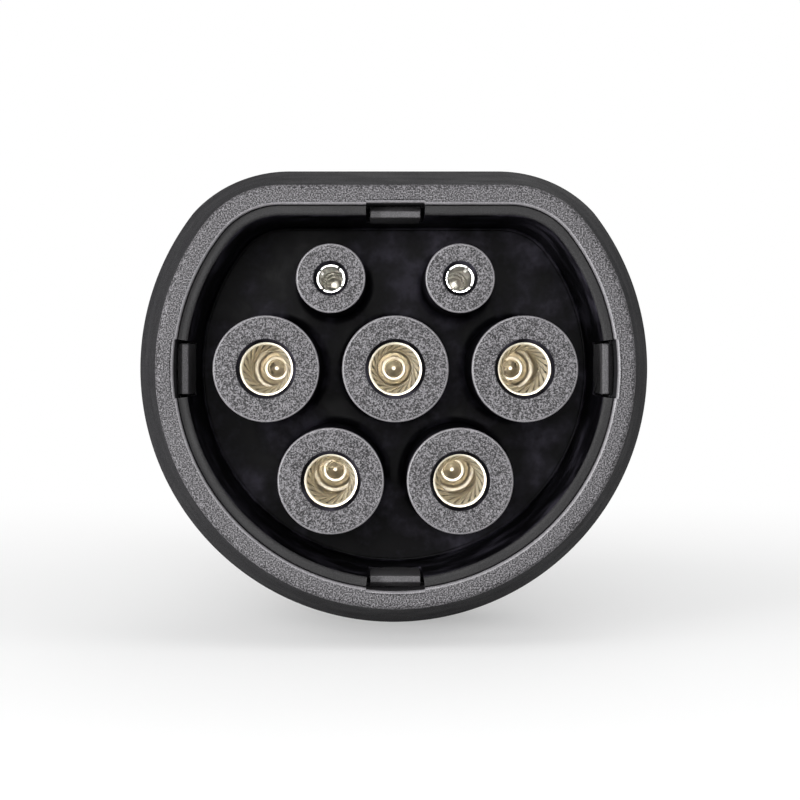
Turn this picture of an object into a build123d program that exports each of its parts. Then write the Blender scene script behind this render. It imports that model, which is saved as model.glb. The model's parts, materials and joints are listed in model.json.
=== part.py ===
from build123d import *

"""A seven-pole AC vehicle charging connector: D-shaped nose, sockets, two-half handle and cable gland.

Frame: the earth socket's axis is the Y axis. The nose's rim lies in the plane y = 0 and opens towards -Y,
the flat side of the D is up (+Z), and the handle runs back towards +Y and droops to the level of the nose,
so that the connector lies on the belly of the nose and on one flat of the gland nut.
"""

import os
from math import acos, asin, atan2, cos, degrees, hypot, radians, sin, sqrt, tan

# ---------------------------------------------------------------- driving dimensions, in millimetres
# Contact layout
pitch = 16.0  # between neighbouring power contacts, which sit on a triangular grid
pilot_rise = 11.2  # the two pilot contacts above the middle row
pilot_pitch = 16.0

# D outline: two corner centres; every outline of the nose is this pair of points, grown by its reach
corner_x = 14.1
corner_z = 10.9

# Nose shroud
rim_inner_reach = 9.3
rim_outer_reach = 11.7
belly_reach = 16.9  # widest, at the back of the flare
flare_length = 28.0
nose_length = 34.0
shroud_wall = 2.4
rim_outer_radius = 0.7
rim_inner_radius = 0.3
pocket_depth = 0.45  # the hook pockets, outwards from the rim's inner wall
pocket_length = 6.2
rib_thickness = 1.4
rib_inset = 0.8  # of the ribs' outer ends from the skirt's widest inside
hollow_start_gap = 0.6  # width of the hollow where it begins

# Contact insert: liner, floor and sleeves in one moulding
liner_clearance = 0.05
liner_wall = 1.3
liner_front = 1.6
floor_front = 22.5
floor_back = 25.5
flange_length = 2.0
flange_clearance = 0.3
sleeve_front = 1.5
power_sleeve_radius = 6.6
pilot_sleeve_radius = 4.3
sleeve_root_chamfer = 1.0
sleeve_rim_chamfer = 0.25
sleeve_lip_length = 1.4
lip_flare = 0.55
lip_step = 0.02  # the lip's hole over the contact's bore, so that the metal takes the pin
contact_clearance = 0.06  # all round, between a contact and its sleeve
contact_end_gap = 0.1  # between a contact and its lip

# Snap hooks of the insert
hook_width = 6.3
hook_slot_side = 0.5
hook_front = 3.2
hook_root = 13.0
hook_thickness = 0.8
hook_inset = 0.05  # how far the hook stands inside the liner's wall
hook_nib_ramp = 1.9
hook_nib_inset = 0.15  # between the nib and the pocket's wall
hook_play = 0.1
hook_weld = 1.0  # how far the hook runs into the liner's wall

# Power contacts
drill_angle = 118.0  # point angle of the drills
power_radius = 4.0
cage_groove_radius = 3.62
cage_groove_length = 14.0
power_bore_radius = 3.15
power_bore_end = 27.5
drill_radius = 1.8
drill_depth = 1.6
collar_radius = 5.2
collar_length = 2.5
collar_seat_depth = 1.0  # the collars sit in counterbores of the floor
power_barrel_radius = 3.7
power_barrel_length = 15.0
power_crimp_radius = 2.6
power_crimp_depth = 9.5
sight_radius = 0.7  # the crimp's inspection hole

# Lamella cages
cage_inset = 0.15
cage_clearance = 0.02
cage_ring_length = 1.4
cage_ring_wall = 0.5
cage_length = 12.6
strip_count = 20
strip_width = 0.62
strip_thickness = 0.22
cage_waist_radius = 2.8

# Pilot contacts
pilot_radius = 2.3
pilot_bore_radius = 1.55
pilot_bore_end = 23.0
pilot_slit = 0.35
pilot_slit_length = 9.0
pilot_neck_radius = 2.05  # where the ring spring sits
pilot_spring_length = 4.0
pilot_neck_inset = 1.2  # of the neck from the contact's front
pilot_barrel_radius = 1.9
pilot_barrel_length = 8.0
pilot_collar_radius = 3.2
pilot_crimp_radius = 1.2
pilot_crimp_depth = 5.5

# Retainer behind the floor
retainer_thickness = 3.0
retainer_reach = 7.6
retainer_clearance = 0.4  # all round, in the well behind the floor
screw_sites = [(17.8, -10.3), (-17.8, -10.3), (18.0, 10.0), (-18.0, 10.0)]
m3_radius = 1.5
m3_head_radius = 2.5
m3_head_height = 2.0
m3_clearance = 0.15
head_chamfer = 0.4
socket_radius = 1.45
socket_depth = 1.2
screw_tip_room = 0.2  # past a screw's end, in a blind hole
boss_wall = 1.7
boss_sink = 0.5  # how far the bosses run into the floor
blind_floor = 0.8  # left under each blind screw hole

# Gasket between the insert's flange and the handle
gasket_length = 1.2
spigot_clearance = 0.15
spigot_wall = 2.2

# Handle: a D that shrinks to a round neck, then turned about the drooping axis
handle_wall = 3.6
handle_web = 2.5  # closes the step between the spigot and the handle
shoulder_distance = 10.0
shoulder_shrink = 0.6
waist_distance = 30.0
waist_reach = 12.0
waist_share = 0.45  # of the nose's corner spacing that is left at the waist
crown_angle = 38.0  # half the arc that the D's flat becomes where the handle is round
neck_distance = 46.0
neck_radius = 17.0
swell_distance = 80.0
swell_radius = 18.0
wrist_distance = 110.0
wrist_radius = 17.0
handle_length = 134.0
tail_radius = 15.6
seam_width = 0.5
seam_depth = 0.4

# Rubber grip
grip_start = 48.0
grip_end = 108.0
grip_thickness = 1.5
grip_clearance = 0.1
groove_pitch = 5.2
groove_width = 1.5
groove_depth = 0.6

# Handle screws: (distance along the axis, half their spacing)
handle_screw_sites = [(34.0, 13.5), (120.0, 9.9)]
handle_boss_radius = 3.2
handle_head_room = 0.15
handle_head_level = 6.0  # the head's seat, below the joint of the halves
handle_screw_bite = 7.5
screw_room = 0.5  # past the ends of the handle's and the clamp's screws

# Internal cord clamp
clamp_station = 100.0
clamp_length = 9.0
clamp_bore_radius = 6.2
clamp_half_width = 13.4
clamp_thickness = 2.0
clamp_screw_x = 10.9
clamp_screw_bite = 6.0
clamp_boss_radius = 2.6
clamp_level = -1.0
saddle_thickness = 2.0

# Cable gland
tail_wall = 6.0
gland_neck_radius = 9.5
gland_flange_radius = 11.9
gland_flange_flat = 10.4  # the flange's two flats keep the gland from turning
gland_flange_length = 2.5
gland_collar_radius = 14.4
gland_collar_length = 2.5
gland_barrel_radius = 12.2
gland_barrel_length = 11.0
gland_bore_radius = 8.0
gland_fit = 0.1
nut_across_flats = 31.0
nut_hex_length = 12.0
nut_dome_length = 10.0
nut_dome_radius = 12.4
nut_shoulder_radius = 14.6
nut_mouth_radius = 7.4
nut_end_wall = 2.4
nut_gap = 1.0
nut_turned_radius = 16.2
nut_chamfer = 1.0
nut_rounding = 1.4
thread_clearance = 0.1
claw_count = 10
claw_outer_radius = 10.3
claw_wall = 1.2
claw_ring_length = 6.0
claw_length = 14.0
claw_gap = 1.1
claw_seat = 8.0  # depth of the claw's seat in the barrel's mouth
seal_bore_radius = 6.6
seal_length = 12.0
seal_clearance = 0.05
seal_chamfer = 0.6

# Proximity coding board
board_width = 11.4
board_height = 6.4
board_thickness = 1.2
board_standoff = 3.0
board_rise = 14.6
peg_spacing = 7.0
peg_radius = 0.7
peg_proud = 0.6  # of the board
standoff_radius = 1.3
resistor_length = 4.6
lead_spacing = 7.4
resistor_radius = 1.1
lead_radius = 0.3
resistor_lift = 0.1  # above the board
lead_drop = -2.2  # of the leads' holes, below the board's middle

# ---------------------------------------------------------------- derived sizes and places
row_drop = pitch * sqrt(3) / 2
power_sites = {
    "l1": (pitch, 0.0),
    "earth": (0.0, 0.0),
    "neutral": (-pitch, 0.0),
    "l2": (pitch / 2, -row_drop),
    "l3": (-pitch / 2, -row_drop),
}
pilot_sites = {
    "control_pilot": (pilot_pitch / 2, pilot_rise),
    "proximity_pilot": (-pilot_pitch / 2, pilot_rise),
}
liner_outer_reach = rim_inner_reach - liner_clearance
liner_inner_reach = liner_outer_reach - liner_wall
tube_outer_reach = rim_inner_reach + shroud_wall
skirt_inner_reach = belly_reach - shroud_wall
flange_reach = skirt_inner_reach - flange_clearance
flange_back = floor_back + flange_length
spigot_front = flange_back + gasket_length
spigot_reach = skirt_inner_reach - spigot_clearance
contact_front = sleeve_front + sleeve_lip_length + contact_end_gap
collar_front = floor_back - collar_seat_depth
collar_back = collar_front + collar_length
retainer_front = collar_back
retainer_back = retainer_front + retainer_thickness
boss_length = retainer_front - floor_back
board_front = retainer_back + board_standoff
board_back = board_front + board_thickness
sleeve_lip_radius = cage_groove_radius - cage_clearance - cage_ring_wall + lip_step
power_hole_radius = power_radius + contact_clearance
pilot_hole_radius = pilot_radius + contact_clearance
pilot_lip_radius = pilot_bore_radius + lip_step

hook_low = liner_inner_reach - hook_inset
hook_high = hook_low + hook_thickness
nib_reach = rim_inner_reach + pocket_depth - hook_nib_inset
tiny = 0.01  # tells one edge from another when picking them

# The handle droops until the gland nut's rear bottom edge is level with the nose's belly.
belly_radius = hypot(corner_x, corner_z) + belly_reach
nut_apothem = nut_across_flats / 2
nut_front = handle_length + gland_collar_length + nut_gap
nut_edge = nut_front + nut_hex_length
droop = degrees(asin(belly_radius / hypot(nut_edge, nut_apothem)) - atan2(nut_apothem, nut_edge))
handle_origin = (0, nose_length, 0)
handle_place = Location(handle_origin, (-droop, 0, 0))


# ---------------------------------------------------------------- helpers
def station(y):
    """The upright plane at y, seen from the front: local x is X and local y is Z."""
    return Plane.XZ.offset(-y)


def handle_station(distance):
    """The plane square to the drooping axis, that far behind the nose."""
    return Plane(
        origin=(
            0,
            nose_length + distance * cos(radians(droop)),
            -distance * sin(radians(droop)),
        ),
        x_dir=(1, 0, 0),
        z_dir=(0, -cos(radians(droop)), sin(radians(droop))),
    )


def joint_plane(distance):
    """The plane in which the handle's halves meet, with its normal up and its origin on the axis."""
    return Plane(
        origin=handle_station(distance).origin,
        x_dir=(1, 0, 0),
        z_dir=(0, sin(radians(droop)), cos(radians(droop))),
    )


def d_section(reach, centre_x=corner_x, centre_z=corner_z):
    """A D: a flat top, two corners of radius reach, and one round belly about the earth axis."""
    span = hypot(centre_x, centre_z)
    lean = degrees(atan2(centre_z, centre_x))
    with BuildSketch() as section:
        with BuildLine():
            Line((-centre_x, centre_z + reach), (centre_x, centre_z + reach))
            CenterArc((centre_x, centre_z), reach, 90, lean - 90)
            CenterArc((0, 0), span + reach, lean, -(180 + 2 * lean))
            CenterArc((-centre_x, centre_z), reach, 180 - lean, lean - 90)
        make_face()
    return section.sketch


def flare_reach(y):
    """The nose's outer reach at y."""
    return rim_outer_reach + (belly_reach - rim_outer_reach) * min(y / flare_length, 1)


def round_section(radius):
    """A circle drawn with the same four arcs as the D, so that one can be lofted into the other."""
    lean = degrees(atan2(corner_z, corner_x))
    with BuildSketch() as section:
        with BuildLine():
            CenterArc((0, 0), radius, 90 + crown_angle, -2 * crown_angle)
            CenterArc((0, 0), radius, 90 - crown_angle, lean - 90 + crown_angle)
            CenterArc((0, 0), radius, lean, -(180 + 2 * lean))
            CenterArc((0, 0), radius, 180 - lean, lean - 90 + crown_angle)
        make_face()
    return section.sketch


def handle_solid(inset):
    """The handle's outer form, taken in by inset all round."""
    with BuildPart() as form:
        with BuildSketch(station(nose_length)):
            add(d_section(belly_reach - inset))
        with BuildSketch(handle_station(shoulder_distance)):
            shoulder_reach = belly_reach - shoulder_shrink - inset
            add(d_section(shoulder_reach, corner_x - shoulder_shrink, corner_z - shoulder_shrink))
        with BuildSketch(handle_station(waist_distance)):
            add(d_section(waist_reach - inset, corner_x * waist_share, corner_z * waist_share))
        with BuildSketch(handle_station(neck_distance)):
            add(round_section(neck_radius - inset))
        loft()
        with BuildPart(mode=Mode.PRIVATE) as turned:
            with BuildSketch(Plane.XY):
                with BuildLine():
                    ThreePointArc(
                        (neck_radius - inset, neck_distance),
                        (swell_radius - inset, swell_distance),
                        (wrist_radius - inset, wrist_distance),
                    )
                    Polyline(
                        (wrist_radius - inset, wrist_distance),
                        (tail_radius - inset, handle_length),
                        (0, handle_length),
                        (0, neck_distance),
                        (neck_radius - inset, neck_distance),
                    )
                make_face()
            revolve(axis=Axis.Y)
        add(handle_place * turned.part)
    return form.part


def write(piece, name):
    """Labels a finished piece and writes it as parts/NAME.step."""
    piece.label = name
    export_step(piece, f"parts/{name}.step")


# Hooks and pockets: direction of each from the earth axis, and how far out its reach counts from
belly_base = hypot(corner_x, corner_z)
hook_sites = [(0, belly_base), (90, corner_z), (180, belly_base), (270, belly_base)]


def hook_block(low_reach, high_reach, width):
    """Four rectangles, one at each hook, between two reaches."""
    with BuildSketch() as blocks:
        for direction, base in hook_sites:
            middle = base + (low_reach + high_reach) / 2
            with Locations((middle * cos(radians(direction)), middle * sin(radians(direction)))):
                Rectangle(high_reach - low_reach, width, rotation=direction)
    return blocks.sketch


os.makedirs("parts", exist_ok=True)

# ---------------------------------------------------------------- nose shroud
with BuildPart() as front_shroud:
    with BuildSketch(station(0)):
        add(d_section(rim_outer_reach))
    with BuildSketch(station(flare_length)):
        add(d_section(belly_reach))
    loft(ruled=True)
    with BuildSketch(station(nose_length)):
        add(d_section(belly_reach))
    extrude(amount=nose_length - flare_length)
    # the room for the insert
    with BuildSketch(station(floor_back)):
        add(d_section(rim_inner_reach))
    extrude(amount=floor_back, mode=Mode.SUBTRACT)
    rim = front_shroud.faces().sort_by(Axis.Y)[0]
    fillet(rim.outer_wire().edges(), rim_outer_radius)
    rim = front_shroud.faces().sort_by(Axis.Y)[0]
    fillet(rim.inner_wires()[0].edges(), rim_inner_radius)
    # the hollow between the inner tube and the flared skirt
    hollow_front = flare_length * (
        tube_outer_reach + shroud_wall + hollow_start_gap - rim_outer_reach
    ) / (
        belly_reach - rim_outer_reach
    )
    with BuildSketch(station(hollow_front)):
        add(d_section(flare_reach(hollow_front) - shroud_wall))
        add(d_section(tube_outer_reach), mode=Mode.SUBTRACT)
    with BuildSketch(station(flare_length)):
        add(d_section(skirt_inner_reach))
        add(d_section(tube_outer_reach), mode=Mode.SUBTRACT)
    loft(ruled=True, mode=Mode.SUBTRACT)
    with BuildSketch(station(nose_length)):
        add(d_section(skirt_inner_reach))
    extrude(amount=nose_length - floor_back, mode=Mode.SUBTRACT)
    # stiffening ribs across the hollow
    with BuildSketch(station(floor_back)):
        for turn in range(0, 360, 45):
            with Locations(Location((0, 0), turn + 22.5)):
                with Locations((hypot(corner_x, corner_z) + belly_reach / 2, 0)):
                    Rectangle(belly_reach, rib_thickness)
        add(d_section(skirt_inner_reach - rib_inset), mode=Mode.INTERSECT)
        add(d_section(rim_inner_reach + shroud_wall / 2), mode=Mode.SUBTRACT)
    extrude(amount=floor_back - hollow_front)
    # pockets for the insert's hooks
    with BuildSketch(station(pocket_length)):
        add(hook_block(rim_inner_reach - 1, rim_inner_reach + pocket_depth, hook_width + 2 * hook_slot_side))
    extrude(amount=pocket_length, mode=Mode.SUBTRACT)

write(front_shroud.part, "front_shroud")

# ---------------------------------------------------------------- contact insert
with BuildPart() as contact_insert:
    with BuildSketch(station(flange_back)):
        add(d_section(flange_reach))
    extrude(amount=flange_length)
    with BuildSketch(station(floor_back)):
        add(d_section(liner_outer_reach))
    extrude(amount=floor_back - liner_front)
    with BuildSketch(station(floor_front)):
        add(d_section(liner_inner_reach))
    extrude(amount=floor_front - liner_front, mode=Mode.SUBTRACT)
    # the well behind the floor, for the retainer
    with BuildSketch(station(flange_back)):
        add(d_section(retainer_reach + retainer_clearance))
    extrude(amount=flange_back - floor_back, mode=Mode.SUBTRACT)
    with BuildSketch(station(floor_front)):
        with Locations(*power_sites.values()):
            Circle(power_sleeve_radius)
        with Locations(*pilot_sites.values()):
            Circle(pilot_sleeve_radius)
    extrude(amount=floor_front - sleeve_front)
    roots = contact_insert.edges().filter_by(GeomType.CIRCLE)
    roots = roots.filter_by(lambda edge: abs(edge.center().Y - floor_front) < tiny)
    chamfer(roots.filter_by(lambda edge: edge.radius < power_sleeve_radius + tiny), sleeve_root_chamfer)
    # the bores for the contacts
    with BuildSketch(station(floor_back)):
        with Locations(*power_sites.values()):
            Circle(power_hole_radius)
        with Locations(*pilot_sites.values()):
            Circle(pilot_hole_radius)
    extrude(amount=floor_back - sleeve_front - sleeve_lip_length, mode=Mode.SUBTRACT)
    with BuildSketch(station(floor_back)):
        with Locations(*power_sites.values()):
            Circle(collar_radius + contact_clearance)
        with Locations(*pilot_sites.values()):
            Circle(pilot_collar_radius + contact_clearance)
    extrude(amount=floor_back - collar_front, mode=Mode.SUBTRACT)
    # the lips that shield the contacts' ends, with their funnelled mouths
    lip_back = sleeve_front + sleeve_lip_length
    for sites, lip_radius in ((power_sites, sleeve_lip_radius), (pilot_sites, pilot_lip_radius)):
        with BuildSketch(station(lip_back)):
            with Locations(*sites.values()):
                Circle(lip_radius)
        extrude(amount=sleeve_lip_length, mode=Mode.SUBTRACT)
    # bosses for the retainer's screws
    with BuildSketch(station(retainer_front)):
        with Locations(*screw_sites):
            Circle(m3_radius + boss_wall)
    extrude(amount=boss_length + boss_sink)
    with BuildSketch(station(retainer_front)):
        with Locations(*screw_sites):
            Circle(m3_radius)
    extrude(amount=retainer_front - floor_front - blind_floor, mode=Mode.SUBTRACT)
    # the gaps beside and in front of the hooks, then the hooks
    with BuildSketch(station(hook_root)):
        add(hook_block(liner_inner_reach - 1, liner_outer_reach + 1, hook_width + 2 * hook_slot_side))
    extrude(amount=hook_root, mode=Mode.SUBTRACT)
    for direction, base in hook_sites:
        outward = Vector(cos(radians(direction)), 0, sin(radians(direction)))
        across = Plane(origin=(0, 0, 0), x_dir=outward, z_dir=outward.cross(Vector(0, 1, 0)))
        with BuildSketch(across):
            with BuildLine():
                Polyline(
                    (base + hook_low, hook_front),
                    (base + hook_high, hook_front),
                    (base + nib_reach, hook_front + hook_nib_ramp),
                    (base + nib_reach, pocket_length - hook_play),
                    (base + hook_high, pocket_length - hook_play),
                    (base + hook_high, hook_root + hook_weld),
                    (base + hook_low, hook_root + hook_weld),
                    close=True,
                )
            make_face()
        extrude(amount=hook_width / 2, both=True)
    # the eased rims and the funnelled mouths of the sleeves
    mouths = contact_insert.edges().filter_by(GeomType.CIRCLE)
    mouths = mouths.filter_by(lambda edge: abs(edge.center().Y - sleeve_front) < tiny)
    chamfer(mouths.filter_by(lambda edge: edge.radius > pilot_sleeve_radius - tiny), sleeve_rim_chamfer)
    mouths = contact_insert.edges().filter_by(GeomType.CIRCLE)
    mouths = mouths.filter_by(lambda edge: abs(edge.center().Y - sleeve_front) < tiny)
    chamfer(mouths.filter_by(lambda edge: edge.radius < sleeve_lip_radius + tiny), lip_flare)

write(contact_insert.part, "contact_insert")

# ---------------------------------------------------------------- power contacts
power_barrel_end = collar_back + power_barrel_length
groove_end = contact_front + cage_groove_length
with BuildPart() as power_contact:
    with BuildSketch(Plane.XY):
        with BuildLine():
            Polyline(
                (0, power_bore_end + drill_depth + drill_radius / tan(radians(drill_angle / 2))),
                (drill_radius, power_bore_end + drill_depth),
                (drill_radius, power_bore_end),
                (power_bore_radius, power_bore_end),
                (power_bore_radius, groove_end),
                (cage_groove_radius, groove_end),
                (cage_groove_radius, contact_front),
                (power_radius, contact_front),
                (power_radius, collar_front),
                (collar_radius, collar_front),
                (collar_radius, collar_back),
                (power_barrel_radius, collar_back),
                (power_barrel_radius, power_barrel_end),
                (power_crimp_radius, power_barrel_end),
                (power_crimp_radius, power_barrel_end - power_crimp_depth),
                (0, power_barrel_end - power_crimp_depth),
                close=True,
            )
        make_face()
    revolve(axis=Axis.Y)
    with BuildSketch(Plane.XY):
        with Locations((0, power_barrel_end - power_crimp_depth + 2 * sight_radius)):
            Circle(sight_radius)
    extrude(amount=power_barrel_radius + 1, mode=Mode.SUBTRACT)

for name, (x, z) in power_sites.items():
    write(Location((x, 0, z)) * power_contact.part, f"socket_{name}")

# ---------------------------------------------------------------- lamella cages
# Each strip is straight and leans from one ring to the other, so the strips together pinch to a waist.
cage_front = contact_front + cage_inset
cage_outer_radius = cage_groove_radius - cage_clearance
ring_middle_radius = cage_outer_radius - cage_ring_wall / 2
half_twist = degrees(acos(cage_waist_radius / ring_middle_radius))
strip_span = cage_length - cage_ring_length
strip_lean = degrees(atan2(2 * ring_middle_radius * sin(radians(half_twist)), strip_span))
strip_length = hypot(strip_span, 2 * ring_middle_radius * sin(radians(half_twist)))
strip_planes = []
for turn in range(strip_count):
    angle = radians(360 / strip_count * turn)
    outward = Vector(cos(angle), 0, sin(angle))
    around = Vector(-sin(angle), 0, cos(angle))
    along = Vector(0, cos(radians(strip_lean)), 0) + around * sin(radians(strip_lean))
    middle = outward * cage_waist_radius + Vector(0, cage_front + cage_length / 2, 0)
    strip_planes.append(Plane(origin=middle, x_dir=along, z_dir=outward))
with BuildPart() as lamella_cage:
    with BuildSketch(*strip_planes):
        Rectangle(strip_length, strip_width)
    extrude(amount=strip_thickness / 2, both=True)
    with BuildSketch(station(cage_front + cage_length - cage_ring_length)):
        Circle(cage_outer_radius)
    extrude(amount=cage_length - 2 * cage_ring_length, mode=Mode.INTERSECT)
    for ring_back in (cage_front + cage_ring_length, cage_front + cage_length):
        with BuildSketch(station(ring_back)):
            Circle(cage_outer_radius)
            Circle(cage_outer_radius - cage_ring_wall, mode=Mode.SUBTRACT)
        extrude(amount=cage_ring_length)

for name, (x, z) in power_sites.items():
    write(Location((x, 0, z)) * lamella_cage.part, f"lamella_cage_{name}")

# ---------------------------------------------------------------- pilot contacts and their ring springs
pilot_neck_front = contact_front + pilot_neck_inset
pilot_neck_back = pilot_neck_front + pilot_spring_length
pilot_barrel_end = collar_back + pilot_barrel_length
with BuildPart() as pilot_contact:
    with BuildSketch(Plane.XY):
        with BuildLine():
            Polyline(
                (0, pilot_bore_end + pilot_bore_radius / tan(radians(drill_angle / 2))),
                (pilot_bore_radius, pilot_bore_end),
                (pilot_bore_radius, contact_front),
                (pilot_radius, contact_front),
                (pilot_radius, pilot_neck_front),
                (pilot_neck_radius, pilot_neck_front),
                (pilot_neck_radius, pilot_neck_back),
                (pilot_radius, pilot_neck_back),
                (pilot_radius, collar_front),
                (pilot_collar_radius, collar_front),
                (pilot_collar_radius, collar_back),
                (pilot_barrel_radius, collar_back),
                (pilot_barrel_radius, pilot_barrel_end),
                (pilot_crimp_radius, pilot_barrel_end),
                (pilot_crimp_radius, pilot_barrel_end - pilot_crimp_depth),
                (0, pilot_barrel_end - pilot_crimp_depth),
                close=True,
            )
        make_face()
    revolve(axis=Axis.Y)
    with BuildSketch(station(contact_front + pilot_slit_length)):
        Rectangle(2 * pilot_radius + 1, pilot_slit)
        Rectangle(pilot_slit, 2 * pilot_radius + 1)
    extrude(amount=pilot_slit_length + 1, mode=Mode.SUBTRACT)

with BuildPart() as ring_spring:
    with BuildSketch(station(pilot_neck_back - hook_play)):
        Circle(pilot_radius - cage_clearance)
        Circle(pilot_neck_radius + cage_clearance, mode=Mode.SUBTRACT)
        with Locations((0, pilot_radius)):
            Rectangle(2 * pilot_slit, pilot_radius, mode=Mode.SUBTRACT)
    extrude(amount=pilot_spring_length - 2 * hook_play)

for name, (x, z) in pilot_sites.items():
    write(Location((x, 0, z)) * pilot_contact.part, f"socket_{name}")
    write(Location((x, 0, z)) * ring_spring.part, f"ring_spring_{name}")

# ---------------------------------------------------------------- contact retainer and its screws
with BuildPart() as contact_retainer:
    with BuildSketch(station(retainer_back)):
        add(d_section(retainer_reach))
        with Locations(*power_sites.values()):
            Circle(power_barrel_radius + m3_clearance, mode=Mode.SUBTRACT)
        with Locations(*pilot_sites.values()):
            Circle(pilot_barrel_radius + m3_clearance, mode=Mode.SUBTRACT)
        with Locations(*screw_sites):
            Circle(m3_radius + m3_clearance, mode=Mode.SUBTRACT)
    extrude(amount=retainer_thickness)
    # standoffs and pegs for the coding board
    with BuildSketch(station(retainer_back + board_standoff)):
        with Locations((peg_spacing / 2, board_rise), (-peg_spacing / 2, board_rise)):
            Circle(standoff_radius)
    extrude(amount=board_standoff)
    with BuildSketch(station(board_back + peg_proud)):
        with Locations((peg_spacing / 2, board_rise), (-peg_spacing / 2, board_rise)):
            Circle(peg_radius)
    extrude(amount=board_thickness + peg_proud)
write(contact_retainer.part, "contact_retainer")

with BuildPart() as retainer_screws:
    with BuildSketch(station(retainer_back)):
        with Locations(*screw_sites):
            Circle(m3_radius)
    extrude(amount=retainer_back - floor_front - blind_floor - screw_tip_room)
    with BuildSketch(station(retainer_back + m3_head_height)):
        with Locations(*screw_sites):
            Circle(m3_head_radius)
    extrude(amount=m3_head_height)
    chamfer(retainer_screws.faces().sort_by(Axis.Y)[-4:].edges(), head_chamfer)
    with BuildSketch(station(retainer_back + m3_head_height)):
        with Locations(*screw_sites):
            RegularPolygon(socket_radius, 6)
    extrude(amount=socket_depth, mode=Mode.SUBTRACT)
write(retainer_screws.part, "retainer_screws")

# ---------------------------------------------------------------- coding board and resistor
with BuildPart() as coding_board:
    with BuildSketch(station(board_back)):
        with Locations((0, board_rise)):
            Rectangle(board_width, board_height)
            with Locations((peg_spacing / 2, 0), (-peg_spacing / 2, 0)):
                Circle(peg_radius + contact_clearance, mode=Mode.SUBTRACT)
            with Locations((lead_spacing / 2, lead_drop), (-lead_spacing / 2, lead_drop)):
                Circle(lead_radius + contact_clearance, mode=Mode.SUBTRACT)
    extrude(amount=board_thickness)
write(coding_board.part, "coding_board")

with BuildPart() as coding_resistor:
    lead_line = board_back + resistor_radius + resistor_lift
    lead_height = board_rise + lead_drop
    with BuildLine() as lead_path:
        Polyline(
            (-lead_spacing / 2, board_front, lead_height),
            (-lead_spacing / 2, lead_line, lead_height),
            (lead_spacing / 2, lead_line, lead_height),
            (lead_spacing / 2, board_front, lead_height),
        )
    with BuildSketch(Plane(origin=lead_path.line @ 0, z_dir=lead_path.line % 0)):
        Circle(lead_radius)
    sweep(transition=Transition.RIGHT)
    with BuildSketch(Plane.YZ.offset(-resistor_length / 2)):
        with Locations((lead_line, lead_height)):
            Circle(resistor_radius)
    extrude(amount=resistor_length)
write(coding_resistor.part, "coding_resistor")

# ---------------------------------------------------------------- flange gasket
with BuildPart() as flange_gasket:
    with BuildSketch(station(spigot_front)):
        add(d_section(flange_reach))
        add(d_section(spigot_reach - spigot_wall), mode=Mode.SUBTRACT)
    extrude(amount=gasket_length)
write(flange_gasket.part, "flange_gasket")

# ---------------------------------------------------------------- handle halves
handle_form = handle_solid(0)
handle_core = handle_solid(handle_wall)
joint = joint_plane(0)


def handle_band(start, end, inset):
    """The ring of the handle's skin, inset thick, between two stations of the drooping axis."""
    with BuildPart() as band:
        with BuildSketch(handle_station(end)):
            Circle(2 * belly_radius)
        extrude(amount=end - start)
        add(handle_form, mode=Mode.INTERSECT)
        add(handle_solid(inset), mode=Mode.SUBTRACT)
    return band.part


def both_sides(distance):
    """The two points either side of the handle's middle plane."""
    return [(distance, 0), (-distance, 0)]


with BuildPart() as handle_fittings:
    # the wall that holds the gland, and the web behind the spigot
    with BuildSketch(handle_station(handle_length)):
        Circle(belly_radius)
    extrude(amount=tail_wall)
    with BuildSketch(station(nose_length + handle_web)):
        add(d_section(belly_reach))
        add(d_section(spigot_reach - spigot_wall), mode=Mode.SUBTRACT)
    extrude(amount=handle_web)
    for distance, spacing in handle_screw_sites:
        with BuildSketch(joint_plane(distance)):
            with Locations(*both_sides(spacing)):
                Circle(handle_boss_radius)
        extrude(amount=belly_radius, both=True)
    with BuildSketch(joint_plane(clamp_station).offset(clamp_level)):
        with Locations(*both_sides(clamp_screw_x)):
            Circle(clamp_boss_radius)
    extrude(amount=-belly_radius)
    # two saddle ribs under the cord
    for rib_end in (clamp_station - clamp_length / 2 + saddle_thickness, clamp_station + clamp_length / 2):
        with BuildSketch(handle_station(rib_end)):
            with Locations((0, clamp_level)):
                Rectangle(2 * clamp_half_width, belly_radius, align=(Align.CENTER, Align.MAX))
            Circle(clamp_bore_radius, mode=Mode.SUBTRACT)
        extrude(amount=saddle_thickness)
    add(handle_form, mode=Mode.INTERSECT)

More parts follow.
